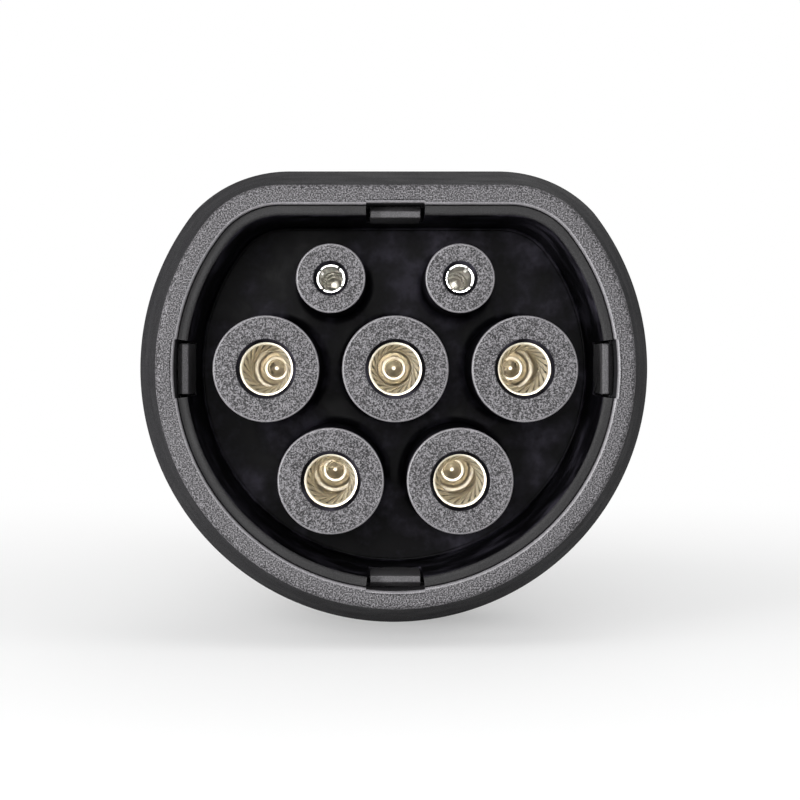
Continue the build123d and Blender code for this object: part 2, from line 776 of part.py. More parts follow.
with BuildPart() as handle_shell:
    add(handle_form)
    add(handle_core, mode=Mode.SUBTRACT)
    add(handle_fittings.part)
    with BuildSketch(station(nose_length)):
        add(d_section(spigot_reach))
        add(d_section(spigot_reach - spigot_wall), mode=Mode.SUBTRACT)
    extrude(amount=nose_length - spigot_front)
    # the recess for the rubber grip
    add(handle_band(grip_start, grip_end, grip_thickness), mode=Mode.SUBTRACT)
    # the gland's hole through the tail wall
    with BuildSketch(handle_station(handle_length)):
        Circle(gland_neck_radius + gland_fit)
    extrude(amount=tail_wall, mode=Mode.SUBTRACT)
    # clearance holes and head wells below the joint, pilot holes above it
    for distance, spacing in handle_screw_sites:
        with BuildSketch(joint_plane(distance).offset(-handle_head_level)):
            with Locations(*both_sides(spacing)):
                Circle(m3_head_radius + handle_head_room)
        extrude(amount=-belly_radius, mode=Mode.SUBTRACT)
        with BuildSketch(joint_plane(distance)):
            with Locations(*both_sides(spacing)):
                Circle(m3_radius)
        extrude(amount=handle_screw_bite + screw_room, mode=Mode.SUBTRACT)
        with BuildSketch(joint_plane(distance)):
            with Locations(*both_sides(spacing)):
                Circle(m3_radius + m3_clearance)
        extrude(amount=-handle_head_level, mode=Mode.SUBTRACT)
    with BuildSketch(joint_plane(clamp_station).offset(clamp_level)):
        with Locations(*both_sides(clamp_screw_x)):
            Circle(m3_radius)
    extrude(amount=-clamp_screw_bite - screw_room, mode=Mode.SUBTRACT)
    # the shadow line along the joint
    with BuildPart(mode=Mode.PRIVATE) as seam:
        with BuildSketch(joint):
            Rectangle(4 * belly_radius, 4 * handle_length)
        extrude(amount=seam_width / 2, both=True)
        add(handle_solid(seam_depth), mode=Mode.SUBTRACT)
        with BuildSketch(station(nose_length)):
            Circle(2 * belly_radius)
        extrude(amount=handle_length, mode=Mode.SUBTRACT)
    add(seam.part, mode=Mode.SUBTRACT)

with BuildPart() as housing_upper:
    add(handle_shell.part)
    split(bisect_by=joint, keep=Keep.TOP)
write(housing_upper.part, "housing_upper")

with BuildPart() as housing_lower:
    add(handle_shell.part)
    split(bisect_by=joint, keep=Keep.BOTTOM)
write(housing_lower.part, "housing_lower")

with BuildPart() as housing_screws:
    for distance, spacing in handle_screw_sites:
        with BuildSketch(joint_plane(distance).offset(-handle_head_level)):
            with Locations(*both_sides(spacing)):
                Circle(m3_radius)
        extrude(amount=handle_head_level + handle_screw_bite)
        with BuildSketch(joint_plane(distance).offset(-handle_head_level)):
            with Locations(*both_sides(spacing)):
                Circle(m3_head_radius)
        extrude(amount=-m3_head_height)
        with BuildSketch(joint_plane(distance).offset(-handle_head_level - m3_head_height)):
            with Locations(*both_sides(spacing)):
                RegularPolygon(socket_radius, 6)
        extrude(amount=socket_depth, mode=Mode.SUBTRACT)
write(housing_screws.part, "housing_screws")

# ---------------------------------------------------------------- rubber grip
with BuildPart() as grip_sleeve:
    add(handle_band(grip_start + grip_clearance, grip_end - grip_clearance, grip_thickness - grip_clearance))
    groove_count = int((grip_end - grip_start) / groove_pitch) - 1
    first_groove = (grip_start + grip_end - (groove_count - 1) * groove_pitch - groove_width) / 2
    with BuildPart(mode=Mode.PRIVATE) as grooves:
        for index in range(groove_count):
            with BuildSketch(handle_station(first_groove + index * groove_pitch + groove_width)):
                Circle(2 * belly_radius)
            extrude(amount=groove_width)
        add(handle_solid(groove_depth), mode=Mode.SUBTRACT)
    add(grooves.part, mode=Mode.SUBTRACT)
write(grip_sleeve.part, "grip_sleeve")

# ---------------------------------------------------------------- cord clamp and its screws
with BuildPart() as cord_clamp:
    with BuildSketch(handle_station(clamp_station + clamp_length / 2)):
        Circle(clamp_bore_radius + clamp_thickness)
        with Locations((0, clamp_level)):
            Rectangle(2 * clamp_half_width, clamp_thickness, align=(Align.CENTER, Align.MIN))
            Rectangle(2 * clamp_half_width, belly_radius, align=(Align.CENTER, Align.MAX), mode=Mode.SUBTRACT)
        Circle(clamp_bore_radius, mode=Mode.SUBTRACT)
    extrude(amount=clamp_length)
    with BuildSketch(joint_plane(clamp_station)):
        with Locations(*both_sides(clamp_screw_x)):
            Circle(m3_radius + m3_clearance)
    extrude(amount=clamp_thickness, both=True, mode=Mode.SUBTRACT)
write(cord_clamp.part, "cord_clamp")

clamp_top = clamp_level + clamp_thickness
with BuildPart() as cord_clamp_screws:
    with BuildSketch(joint_plane(clamp_station).offset(clamp_top)):
        with Locations(*both_sides(clamp_screw_x)):
            Circle(m3_radius)
    extrude(amount=-clamp_thickness - clamp_screw_bite)
    with BuildSketch(joint_plane(clamp_station).offset(clamp_top)):
        with Locations(*both_sides(clamp_screw_x)):
            Circle(m3_head_radius)
    extrude(amount=m3_head_height)
    with BuildSketch(joint_plane(clamp_station).offset(clamp_top + m3_head_height)):
        with Locations(*both_sides(clamp_screw_x)):
            RegularPolygon(socket_radius, 6)
    extrude(amount=-socket_depth, mode=Mode.SUBTRACT)
write(cord_clamp_screws.part, "cord_clamp_screws")

# ---------------------------------------------------------------- cable gland
# The gland's pieces are turned about Y with y counted along the handle, then put in place.
gland_front = handle_length - tail_wall - gland_flange_length
gland_collar_back = handle_length + gland_collar_length
gland_end = gland_collar_back + gland_barrel_length
seat_front = gland_end - claw_seat
seat_radius = claw_outer_radius + gland_fit
nut_end = nut_edge + nut_dome_length
with BuildPart() as gland_body:
    with BuildSketch(Plane.XY):
        with BuildLine():
            Polyline(
                (gland_bore_radius, gland_front + gland_flange_length),
                (gland_neck_radius, gland_front + gland_flange_length),
                (gland_neck_radius, handle_length),
                (gland_collar_radius, handle_length),
                (gland_collar_radius, gland_collar_back),
                (gland_barrel_radius, gland_collar_back),
                (gland_barrel_radius, gland_end),
                (seat_radius, gland_end),
                (seat_radius, seat_front),
                (gland_bore_radius, seat_front),
                close=True,
            )
        make_face()
    revolve(axis=Axis.Y)
    # the flange inside the tail wall
    with BuildSketch(station(gland_front + gland_flange_length)):
        Circle(gland_flange_radius)
        Rectangle(2 * gland_flange_flat, 2 * gland_flange_radius, mode=Mode.INTERSECT)
        Circle(gland_bore_radius, mode=Mode.SUBTRACT)
    extrude(amount=gland_flange_length)
write(handle_place * gland_body.part, "gland_body")

with BuildPart() as gland_claw:
    with BuildSketch(station(seat_front + claw_length)):
        Circle(claw_outer_radius)
        Circle(claw_outer_radius - claw_wall, mode=Mode.SUBTRACT)
    extrude(amount=claw_length)
    with BuildSketch(station(seat_front + claw_length)):
        with PolarLocations(claw_outer_radius, claw_count):
            Rectangle(4 * claw_wall, claw_gap)
    extrude(amount=claw_length - claw_ring_length, mode=Mode.SUBTRACT)
write(handle_place * gland_claw.part, "gland_claw")

with BuildPart() as gland_seal:
    with BuildSketch(station(seat_front + seal_length)):
        Circle(claw_outer_radius - claw_wall - seal_clearance)
        Circle(seal_bore_radius, mode=Mode.SUBTRACT)
    extrude(amount=seal_length)
    chamfer(gland_seal.edges().group_by(Axis.Y)[-1], seal_chamfer)
write(handle_place * gland_seal.part, "gland_seal")

with BuildPart() as gland_nut:
    with BuildSketch(station(nut_edge)):
        RegularPolygon(nut_apothem, 6, major_radius=False)
    extrude(amount=nut_hex_length)
    # the hexagon's corners are turned down at both ends
    with BuildSketch(Plane.XY):
        with BuildLine():
            Polyline(
                (0, nut_front),
                (nut_turned_radius, nut_front),
                (nut_turned_radius + nut_chamfer * sqrt(3), nut_front + nut_chamfer),
                (nut_turned_radius + nut_chamfer * sqrt(3), nut_edge - nut_chamfer),
                (nut_turned_radius, nut_edge),
                (0, nut_edge),
                close=True,
            )
        make_face()
    revolve(axis=Axis.Y, mode=Mode.INTERSECT)
    with BuildSketch(Plane.XY):
        with BuildLine():
            Polyline(
                (0, nut_edge),
                (nut_shoulder_radius, nut_edge),
                (nut_dome_radius, nut_end - nut_rounding),
                (nut_dome_radius - nut_rounding, nut_end),
                (0, nut_end),
                close=True,
            )
        make_face()
    revolve(axis=Axis.Y)
    # the threaded bore, the cone that presses the claws in, and the mouth
    with BuildSketch(Plane.XY):
        with BuildLine():
            Polyline(
                (0, nut_front),
                (gland_barrel_radius + thread_clearance, nut_front),
                (gland_barrel_radius + thread_clearance, nut_edge),
                (claw_outer_radius, seat_front + claw_length),
                (nut_mouth_radius + 1.0, nut_end - nut_end_wall),
                (nut_mouth_radius, nut_end - nut_end_wall),
                (nut_mouth_radius, nut_end),
                (0, nut_end),
                close=True,
            )
        make_face()
    revolve(axis=Axis.Y, mode=Mode.SUBTRACT)
write(handle_place * gland_nut.part, "gland_nut")
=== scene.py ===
"""The looks of a seven-pole AC charging connector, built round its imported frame.

Each visible moulding, contact and fitting is a surface worked out from a short formula. Pieces that stay
inside keep the frame's own mesh and get a finish. Lengths are in metres.
"""

import json

import bmesh
import bpy
import numpy as np
from bpy.props import FloatProperty, FloatVectorProperty, IntProperty, PointerProperty
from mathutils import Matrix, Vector
from mathutils.geometry import delaunay_2d_cdt


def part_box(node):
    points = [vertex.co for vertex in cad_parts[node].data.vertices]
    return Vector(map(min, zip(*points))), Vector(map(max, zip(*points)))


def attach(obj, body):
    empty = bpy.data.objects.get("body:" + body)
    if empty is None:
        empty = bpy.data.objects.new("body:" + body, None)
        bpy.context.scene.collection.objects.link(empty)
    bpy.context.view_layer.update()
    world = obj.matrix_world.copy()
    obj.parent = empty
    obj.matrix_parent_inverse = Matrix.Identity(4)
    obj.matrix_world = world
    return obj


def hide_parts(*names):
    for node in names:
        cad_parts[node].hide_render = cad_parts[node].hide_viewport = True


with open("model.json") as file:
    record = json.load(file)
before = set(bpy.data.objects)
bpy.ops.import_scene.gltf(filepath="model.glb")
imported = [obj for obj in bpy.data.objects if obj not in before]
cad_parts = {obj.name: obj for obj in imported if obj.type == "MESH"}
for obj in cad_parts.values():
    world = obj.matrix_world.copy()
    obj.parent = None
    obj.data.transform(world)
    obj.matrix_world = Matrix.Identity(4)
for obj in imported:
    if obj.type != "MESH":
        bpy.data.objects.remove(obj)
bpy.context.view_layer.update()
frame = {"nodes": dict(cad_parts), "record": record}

bl_info = {
    "name": "Charging Connector",
    "version": (1, 0, 0),
    "blender": (4, 5, 0),
    "location": "View3D > Sidebar > Connector",
    "description": "Builds the visible pieces of an AC charging connector and its stage",
    "category": "Add Mesh",
}

MM = 0.001
sharp_angle = np.radians(40.0)
mounts = {mount["name"]: mount for mount in frame["record"]["mounts"]}
power_names = [name for name in mounts if name.startswith("socket_") and "pilot" not in name]
pilot_names = [name for name in mounts if name.startswith("socket_") and "pilot" in name]
nose_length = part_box("front_shroud")[1].y
belly_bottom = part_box("front_shroud")[0].z
handle_axis = np.array(mounts["cable_entry"]["axis"], float)
handle_axis /= np.linalg.norm(handle_axis)
handle_up = np.array([0.0, -handle_axis[2], handle_axis[1]])
handle_tilt = float(np.arctan2(-handle_axis[2], handle_axis[1]))


# ------------------------------------------------------------------ settings
def length(millimetres, description):
    """A length setting, given in millimetres and kept in metres."""
    return FloatProperty(
        description=description, default=millimetres * MM, min=0.0, precision=5, unit="LENGTH"
    )


def colour(value, description):
    """A linear RGB colour setting."""
    return FloatVectorProperty(
        description=description, default=value, size=3, min=0.0, max=1.0, subtype="COLOR"
    )


class ConnectorNoseSizes(bpy.types.PropertyGroup):
    """Sizes of the nose: shroud, insert and hooks."""

    corner_x: length(14.1, "Half the spacing of the D's corner centres")
    corner_z: length(10.9, "Height of the D's corner centres above the earth socket")
    rim_inner: length(9.3, "Inner edge of the rim, out from the D's core")
    rim_outer: length(11.7, "Outer edge of the rim, out from the D's core")
    belly: length(16.9, "Outside of the nose behind its flare")
    flare_end: length(28.0, "Depth at which the flare has grown to the belly")
    shroud_wall: length(2.4, "Thickness of the shroud's walls")
    hollow_front: length(16.2, "Depth at which the hollow between tube and skirt begins")
    belly_drop: length(0.85, "How far the belly's flat lies below the grown D")
    pocket_depth: length(0.2, "How far the hook pockets are let into the rim")
    pocket_length: length(6.2, "Depth of the hook pockets behind the rim")
    pocket_half: length(3.65, "Half the width of a hook pocket")
    liner_outer: length(9.25, "Outside of the insert's liner")
    liner_inner: length(7.95, "Inside of the insert's liner")
    liner_front: length(0.9, "Depth of the liner's front edge")
    floor_front: length(22.5, "Depth of the cavity's floor")
    floor_back: length(25.5, "Back of the floor")
    flange: length(14.2, "Edge of the insert's flange")
    flange_back: length(27.5, "Back of the insert's flange")
    well: length(8.0, "Edge of the well behind the floor")
    floor_fillet: length(0.35, "Rounding between liner and floor")
    slot_root: length(13.0, "Depth of the slots in which the hooks stand")
    hook_front: length(3.2, "Depth of the hooks' front edges")
    nib_front: length(5.1, "Depth at which a hook's ramp ends")
    nib_back: length(6.1, "Depth of a hook's catching face")
    hook_thickness: length(0.8, "Thickness of a hook behind its nib")
    hook_gap: length(0.5, "Room at each side of a hook")
    hook_sink: length(1.0, "How far a hook's root goes into the liner")
    sleeve_front: length(1.5, "Depth of the sleeves' front faces")
    sleeve_fillet: length(1.15, "Rounding at the root of each sleeve")
    power_sleeve: length(6.6, "Outside of a power contact's sleeve")
    pilot_sleeve: length(4.3, "Outside of a pilot contact's sleeve")
    lip_length: length(1.4, "Length of the lip in front of each contact")
    collar_seat: length(1.0, "Depth of the counterbores for the contacts' collars")
    contact_fit: length(0.06, "Room round each contact")
    mouth_flare: length(0.5, "Width of the funnel at each sleeve's mouth")


class ConnectorContactSizes(bpy.types.PropertyGroup):
    """Sizes of the power and pilot contacts."""

    power_lip: length(3.3, "Hole in the lip in front of a power contact")
    pilot_lip: length(1.75, "Hole in the lip in front of a pilot contact")
    power_radius: length(4.0, "Outside of a power contact")
    power_bore: length(3.15, "Bore behind the lamella cage")
    power_bottom: length(27.5, "Depth of the bottom of a power contact's bore")
    pilot_radius: length(2.3, "Outside of a pilot contact")
    pilot_bottom: length(21.5, "Depth of the first step of a pilot contact's bore")
    end_gap: length(0.1, "Room between a sleeve's lip and its contact")
    collar_front: length(24.5, "Depth of the front of the contacts' collars")
    collar_back: length(27.0, "Depth of the back of the contacts' collars")
    power_collar: length(5.2, "Outside of a power contact's collar")
    power_barrel: length(3.7, "Outside of a power contact's crimp barrel")
    power_tail: length(42.0, "Depth of a power contact's back end")
    power_crimp: length(2.6, "Bore for a power conductor")
    power_crimp_end: length(32.5, "Depth at which that bore ends")
    pilot_bore: length(1.55, "Bore for a pilot pin")
    pilot_step: length(1.35, "Narrower bore behind it")
    pilot_point: length(1.1, "Narrowest part of the bore")
    pilot_slit_end: length(12.0, "Depth at which a pilot contact's slits end")
    pilot_slit: length(0.34, "Width of a slit")
    pilot_collar: length(3.2, "Outside of a pilot contact's collar")
    pilot_barrel: length(1.9, "Outside of a pilot contact's crimp barrel")
    pilot_tail: length(35.0, "Depth of a pilot contact's back end")
    pilot_crimp: length(1.2, "Bore for a pilot conductor")
    pilot_crimp_end: length(29.5, "Depth at which that bore ends")
    groove_length: length(14.0, "Length of the groove that holds the cage")
    cage_fit: length(0.02, "Room round the cage")
    cage_gap: length(0.25, "Room between a sleeve's lip and the cage")
    cage_length: length(12.6, "Length of the lamella cage")
    ring_length: length(1.4, "Length of each of the cage's rings")
    cage_outer: length(3.6, "Outside of the lamella cage's rings")
    cage_inner: length(2.98, "Inside of the lamella cage's rings")
    cage_waist: length(2.35, "Radius to which the strips pinch in")
    strip_width: length(0.6, "Width of a strip")
    strip_thickness: length(0.2, "Thickness of a strip")
    strips: IntProperty(description="Strips in each lamella cage", default=20, min=8, max=40)


class ConnectorHandleSizes(bpy.types.PropertyGroup):
    """Sizes of the handle, grip and gland, with distances counted along the drooping axis."""

    wall: length(3.6, "Thickness of the handle's shell")
    shoulder_distance: length(10.0, "Where the handle begins to narrow")
    shoulder: length(16.3, "Reach of the D at the shoulder")
    waist_distance: length(30.0, "Where the D has nearly become round")
    waist: length(12.0, "Reach of the D at the waist")
    neck_distance: length(46.0, "Where the handle is round")
    neck: length(17.0, "Radius of the round neck")
    swell_distance: length(80.0, "Middle of the grip")
    swell: length(18.0, "Radius at the middle of the grip")
    wrist_distance: length(110.0, "End of the grip's swell")
    wrist: length(17.0, "Radius behind the grip")
    tail_distance: length(134.0, "Length of the handle")
    tail: length(15.6, "Radius of the handle's end")
    tail_wall: length(6.0, "Thickness of the wall that holds the gland")
    gland_hole: length(9.6, "Hole in the tail wall")
    seam_depth: length(0.45, "Depth of the groove along the joint of the halves")
    grip_start: length(48.0, "Front end of the rubber grip")
    grip_end: length(108.0, "Back end of the rubber grip")
    grip_thickness: length(1.4, "Thickness of the rubber")
    groove_pitch: length(5.2, "Spacing of the grip's grooves")
    groove_width: length(1.5, "Width of a groove")
    groove_depth: length(0.6, "Depth of a groove")
    front_screws: length(34.0, "Where the front pair of housing screws stands")
    front_spread: length(13.5, "How far each front screw stands from the middle")
    back_screws: length(120.0, "Where the back pair of housing screws stands")
    back_spread: length(9.9, "How far each back screw stands from the middle")
    well_radius: length(2.65, "Radius of the wells of the housing screws")
    well_top: length(6.0, "How far below the joint of the halves the wells end")
    nut_front: length(137.5, "Front of the gland nut")
    nut_edge: length(149.5, "Back of the nut's hexagon")
    nut_end: length(159.5, "Back of the nut's dome")
    nut_apothem: length(15.5, "Half the nut's width across its flats")
    nut_turned: length(16.2, "Radius to which the hexagon's ends are turned down")
    nut_chamfer: length(1.0, "Length of the hexagon's turned-down ends")
    nut_bore: length(12.3, "Bore over the gland's barrel")
    claw_cone: length(10.3, "Small end of the cone that presses the claws in")
    claw_end: length(153.5, "Where that cone ends")
    seal_bore: length(8.4, "Room for the seal")
    mouth: length(7.4, "Hole for the cord")
    mouth_length: length(2.4, "Thickness of the dome round the cord")
    dome_lip: length(1.4, "Width and length of the dome's last slope")
    nut_shoulder: length(14.6, "Radius of the dome where it leaves the hexagon")
    nut_dome: length(12.4, "Radius of the dome at its end")


class ConnectorColours(bpy.types.PropertyGroup):
    """Colours of the finishes."""

    rim: colour((0.058, 0.056, 0.0595), "Spark-eroded face of the nose and sleeves")
    # This is about a third of the rim's colour on the same moulding; on the nose's outside it is painted
    # shade where the light grazes.
    flare: colour((0.02, 0.0195, 0.021), "Outside of the nose and handle")
    # This is the insert moulding's own smooth black, set far darker than its grained sleeve faces as painted
    # shade of the deep cavity.
    insert: colour((0.0026, 0.0024, 0.0032), "Smooth black of the cavity")
    contact: colour((0.86, 0.79, 0.66), "Plating of the power contacts")
    lamella: colour((0.99, 0.90, 0.75), "Plating of the strips")
    pilot: colour((0.95, 0.93, 0.88), "Plating of the pilot contacts")
    rubber: colour((0.02, 0.02, 0.021), "Grip and seals")
    gland: colour((0.022, 0.022, 0.023), "Gland nut and body")
    steel: colour((0.55, 0.56, 0.58), "Plated screws")


# ------------------------------------------------------------------ surfaces
def softened(corners, steps=6, closed=False):
    """A profile whose corners are eased. Its rows are (across, along, ease in millimetres). Each corner C
    becomes a parabola between the points A and B set back by its ease along its two sides,
    (1-s)^2 A + 2 s (1-s) C + s^2 B, with one more point beyond each so that flat sides shade flat."""
    rows = np.asarray(corners, float)
    corners, setbacks = rows[:, :2], rows[:, 2, None, None] * MM
    before = np.roll(corners, 1, axis=0) - corners
    after = np.roll(corners, -1, axis=0) - corners
    if not closed:
        before[0] = 0
        after[-1] = 0
    long_before = np.maximum(np.linalg.norm(before, axis=1, keepdims=True), 1e-9)
    long_after = np.maximum(np.linalg.norm(after, axis=1, keepdims=True), 1e-9)
    start = corners[:, None] + (before / long_before)[:, None] * setbacks
    end = corners[:, None] + (after / long_after)[:, None] * setbacks
    s = np.linspace(0, 1, steps)[None, :, None]
    curve = (1 - s) ** 2 * start + 2 * s * (1 - s) * corners[:, None] + s**2 * end
    lead = start + 0.3 * (start - corners[:, None])
    trail = end + 0.3 * (end - corners[:, None])
    return np.concatenate([lead, curve, trail], axis=1).reshape(-1, 2)


def outline(nose):
    """The D as a core line, outward normals and their angles: every outline of the nose is core + reach *
    normal. The core is the segment between the corner centres and the arc about the earth axis through both.
    The round normals are the directions that the same points take where the handle is round."""
    cx, cz = nose.corner_x, nose.corner_z
    crown = np.radians(38)
    lean, span = np.arctan2(cz, cx), np.hypot(cx, cz)
    edges = nose.pocket_half + np.array([-0.08, 0.0]) * MM
    flat_x = np.union1d(np.linspace(-cx, cx, 33), np.concatenate([edges, -edges]))
    corner = np.linspace(np.pi / 2, lean, 30)[1:-1]
    swing = np.arcsin(edges / (span + nose.rim_inner))
    seam = np.radians([0.35, 0.75, 1.1])
    hooks = np.array([0, -np.pi / 2, -np.pi])
    near_hooks = [hook + sign * np.append(swing, seam) for hook in hooks for sign in (-1, 1)]
    belly = np.concatenate([*near_hooks, hooks, np.linspace(lean, -np.pi - lean, 181)])
    belly = np.unique(np.round(belly, 9))[::-1]
    angle = np.concatenate([np.full(len(flat_x), np.pi / 2), corner, belly, (-np.pi - corner[::-1])])
    core = np.concatenate(
        [
            np.stack([flat_x, np.full(len(flat_x), cz)], 1),
            np.tile([cx, cz], (len(corner), 1)),
            span * np.stack([np.cos(belly), np.sin(belly)], 1),
            np.tile([-cx, cz], (len(corner), 1)),
        ]
    )
    squeeze = np.interp(corner, [lean, np.pi / 2], [lean, np.pi / 2 - crown])
    round_angle = np.concatenate([np.pi / 2 - flat_x / cx * crown, squeeze, belly, -np.pi - squeeze[::-1]])
    normal = np.stack([np.cos(angle), np.sin(angle)], 1)
    round_normal = np.stack([np.cos(round_angle), np.sin(round_angle)], 1)
    return core, normal, round_normal, angle


def at_hook(points, nose):
    """True where an outline point lies in one of the four hook pockets: near a main direction, and within
    the pocket's half width across it."""
    x, z = np.abs(points).T
    half = nose.pocket_half - 0.04 * MM
    return ((x <= half) & (z > x)) | ((z <= half) & (x > z))


def unit(vectors):
    """Vectors scaled to length one."""
    return vectors / np.linalg.norm(vectors, axis=-1, keepdims=True)


def flat_share(nose, angle):
    """One on the D's flat, falling to nought down its corners."""
    low = np.sin(np.arctan2(nose.corner_z, nose.corner_x))
    return np.clip((np.sin(angle) - low) / (1 - low), 0, 1)


def turned(profile, count, place=(0.0, 0.0)):
    """A surface of revolution about a line along Y: (r cos a + x, y, r sin a + z)."""
    angle = np.linspace(0, 2 * np.pi, count, endpoint=False)
    radius, depth = profile[:, :1], profile[:, 1:]
    x, z = radius * np.cos(angle) + place[0], radius * np.sin(angle) + place[1]
    return np.stack([x, depth + 0 * angle, z], axis=-1)


def grid_faces(rows, columns, loop_rows):
    """Quads of a grid whose columns close into a ring, and whose rows do so too if asked."""
    r = np.arange(rows if loop_rows else rows - 1)[:, None]
    c = np.arange(columns)[None, :]
    below, right = (r + 1) % rows, (c + 1) % columns
    quads = [r * columns + c, below * columns + c, below * columns + right, r * columns + right]
    return np.stack(np.broadcast_arrays(*quads), axis=-1).reshape(-1, 4)


def patch(points, loop_rows=False):
    """A ringed grid of points as vertices and faces."""
    rows, columns = points.shape[:2]
    return points.reshape(-1, 3), grid_faces(rows, columns, loop_rows).tolist()


def web(outer, holes, depth):
    """A flat web at one depth between an outer loop and round holes: a constrained triangulation, of which
    the triangles inside the loop and outside the holes stay."""
    loops = [outer, *holes]
    flat = np.concatenate(loops) / MM
    starts = np.cumsum([0] + [len(loop) for loop in loops])
    edges = [
        edge
        for start, end in zip(starts[:-1], starts[1:])
        for edge in zip(range(start, end), [*range(start + 1, end), start])
    ]
    made = delaunay_2d_cdt(flat.tolist(), edges, [], 1, 1e-7)
    vertices = np.array([tuple(v) for v in made[0]]) * MM
    faces = np.array(made[2])
    middle = vertices[faces].mean(axis=1)
    keep = np.ones(len(faces), bool)
    for hole in holes:
        centre = hole.mean(axis=0)
        keep &= np.linalg.norm(middle - centre, axis=1) > np.linalg.norm(hole[0] - centre)
    full = np.stack([vertices[:, 0], np.full(len(vertices), depth), vertices[:, 1]], axis=1)
    return full, faces[keep].tolist()


def joined_mesh(name, patches):
    """Joins patches of vertices and faces into one closed mesh with outward faces."""
    vertices, faces, count = [], [], 0
    for points, polygons in patches:
        vertices.append(points)
        faces.extend([[index + count for index in polygon] for polygon in polygons])
        count += len(points)
    mesh = bpy.data.meshes.new(name)
    mesh.from_pydata(np.concatenate(vertices).tolist(), [], faces)
    work = bmesh.new()
    work.from_mesh(mesh)
    bmesh.ops.remove_doubles(work, verts=work.verts, dist=2e-6)
    bmesh.ops.dissolve_degenerate(work, edges=work.edges, dist=1e-7)
    bmesh.ops.recalc_face_normals(work, faces=work.faces)
    work.to_mesh(mesh)
    work.free()
    return mesh


def make_piece(name, patches, node_name, materials):
    """Makes one object of patches, which rides on the frame's body, stands for the named node and takes its
    finish from a slot."""
    mesh = joined_mesh(name, patches)
    mesh.shade_smooth()
    mesh.set_sharp_from_angle(angle=sharp_angle)
    piece = bpy.data.objects.new(name, mesh)
    bpy.context.scene.collection.objects.link(piece)
    for material in materials:
        mesh.materials.append(material)
    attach(piece, "root")
    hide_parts(node_name)
    return piece


# ------------------------------------------------------------------ finishes
def blank_material(name, base, roughness, metallic=0.0, specular=0.5):
    """A material with one principled shader, and its node tree."""
    material = bpy.data.materials.new(name)
    material.use_nodes = True
    shader = material.node_tree.nodes["Principled BSDF"]
    shader.inputs["Base Color"].default_value = (*base, 1.0)
    shader.inputs["Roughness"].default_value = roughness
    shader.inputs["Metallic"].default_value = metallic
    shader.inputs["Specular IOR Level"].default_value = specular
    return material, material.node_tree


def noise(tree, scale, detail, roughness=0.5, stretch=(1, 1, 1)):
    """Noise on object coordinates. Scale is in cells per metre."""
    coordinates = tree.nodes.new("ShaderNodeTexCoord")
    mapping = tree.nodes.new("ShaderNodeMapping")
    mapping.inputs["Scale"].default_value = stretch
    texture = tree.nodes.new("ShaderNodeTexNoise")
    texture.inputs["Scale"].default_value = scale
    texture.inputs["Detail"].default_value = detail
    texture.inputs["Roughness"].default_value = roughness
    tree.links.new(coordinates.outputs["Object"], mapping.inputs["Vector"])
    tree.links.new(mapping.outputs["Vector"], texture.inputs["Vector"])
    return texture.outputs["Fac"]


def grade(tree, socket, source, *stops):
    """Feeds a socket of the shader from a value through a ramp of (position, grey or colour) stops."""
    node = tree.nodes.new("ShaderNodeValToRGB")
    elements = node.color_ramp.elements
    while len(elements) < len(stops):
        elements.new(0.5)
    for element, (position, value) in zip(elements, stops):
        element.position = position
        element.color = (*value, 1.0) if hasattr(value, "__len__") else (value, value, value, 1.0)
    tree.links.new(source, node.inputs["Fac"])
    tree.links.new(node.outputs["Color"], tree.nodes["Principled BSDF"].inputs[socket])


def bump(tree, height, distance, strength, under=None):
    """Bump of a real height in metres into the shader's normal, on top of another bump if given."""
    node = tree.nodes.new("ShaderNodeBump")
    node.inputs["Strength"].default_value = strength
    node.inputs["Distance"].default_value = distance
    tree.links.new(height, node.inputs["Height"])
    if under is not None:
        tree.links.new(under, node.inputs["Normal"])
    tree.links.new(node.outputs["Normal"], tree.nodes["Principled BSDF"].inputs["Normal"])
    return node.outputs["Normal"]


def tint(base, factor):
    """A colour made lighter or darker."""
    return tuple(min(channel * factor, 1.0) for channel in base)


def grained_plastic(name, base, contrast, roughness=0.62, specular=0.4):
    """Spark-eroded plastic: small pits and bright facets about a fifth of a millimetre apart."""
    material, tree = blank_material(name, base, roughness, specular=specular)
    pits = noise(tree, 5600.0, detail=4.0, roughness=0.65)
    dark, light = tint(base, 1 - 0.62 * contrast), tint(base, 1 + 1.25 * contrast)
    grade(tree, "Base Color", pits, (0.41, dark), (0.5, tint(base, 0.92)), (0.61, light))
    fine = bump(tree, pits, 0.00008, strength=0.6)
    shade = noise(tree, 160.0, detail=3.0)
    grade(tree, "Roughness", shade, (0.3, roughness - 0.07), (0.7, roughness + 0.07))
    bump(tree, shade, 0.00005, strength=0.2, under=fine)
    return material


def satin_plastic(name, base, roughness, specular=0.3, tone_and_sheen=1.2):
    """Smooth moulded plastic with slow waviness, and patches of lighter colour and duller skin. A small
    factor gives a slight random tone; a large one paints sheen, blotchy reflections, into the colour.
    """
    material, tree = blank_material(name, base, roughness, specular=specular)
    cloud = noise(tree, 190.0, detail=4.0, roughness=0.6)
    dark, middle, light = tint(base, 0.8), tint(base, 1 + 0.3 * (tone_and_sheen - 1)), tint(base, tone_and_sheen)
    grade(tree, "Base Color", cloud, (0.45, dark), (0.56, middle), (0.68, light))
    grade(tree, "Roughness", cloud, (0.3, roughness - 0.1), (0.7, roughness + 0.14))
    slow = bump(tree, cloud, 0.0002, strength=0.3)
    skin = noise(tree, 2400.0, detail=3.0)
    bump(tree, skin, 0.00002, strength=0.35, under=slow)
    return material


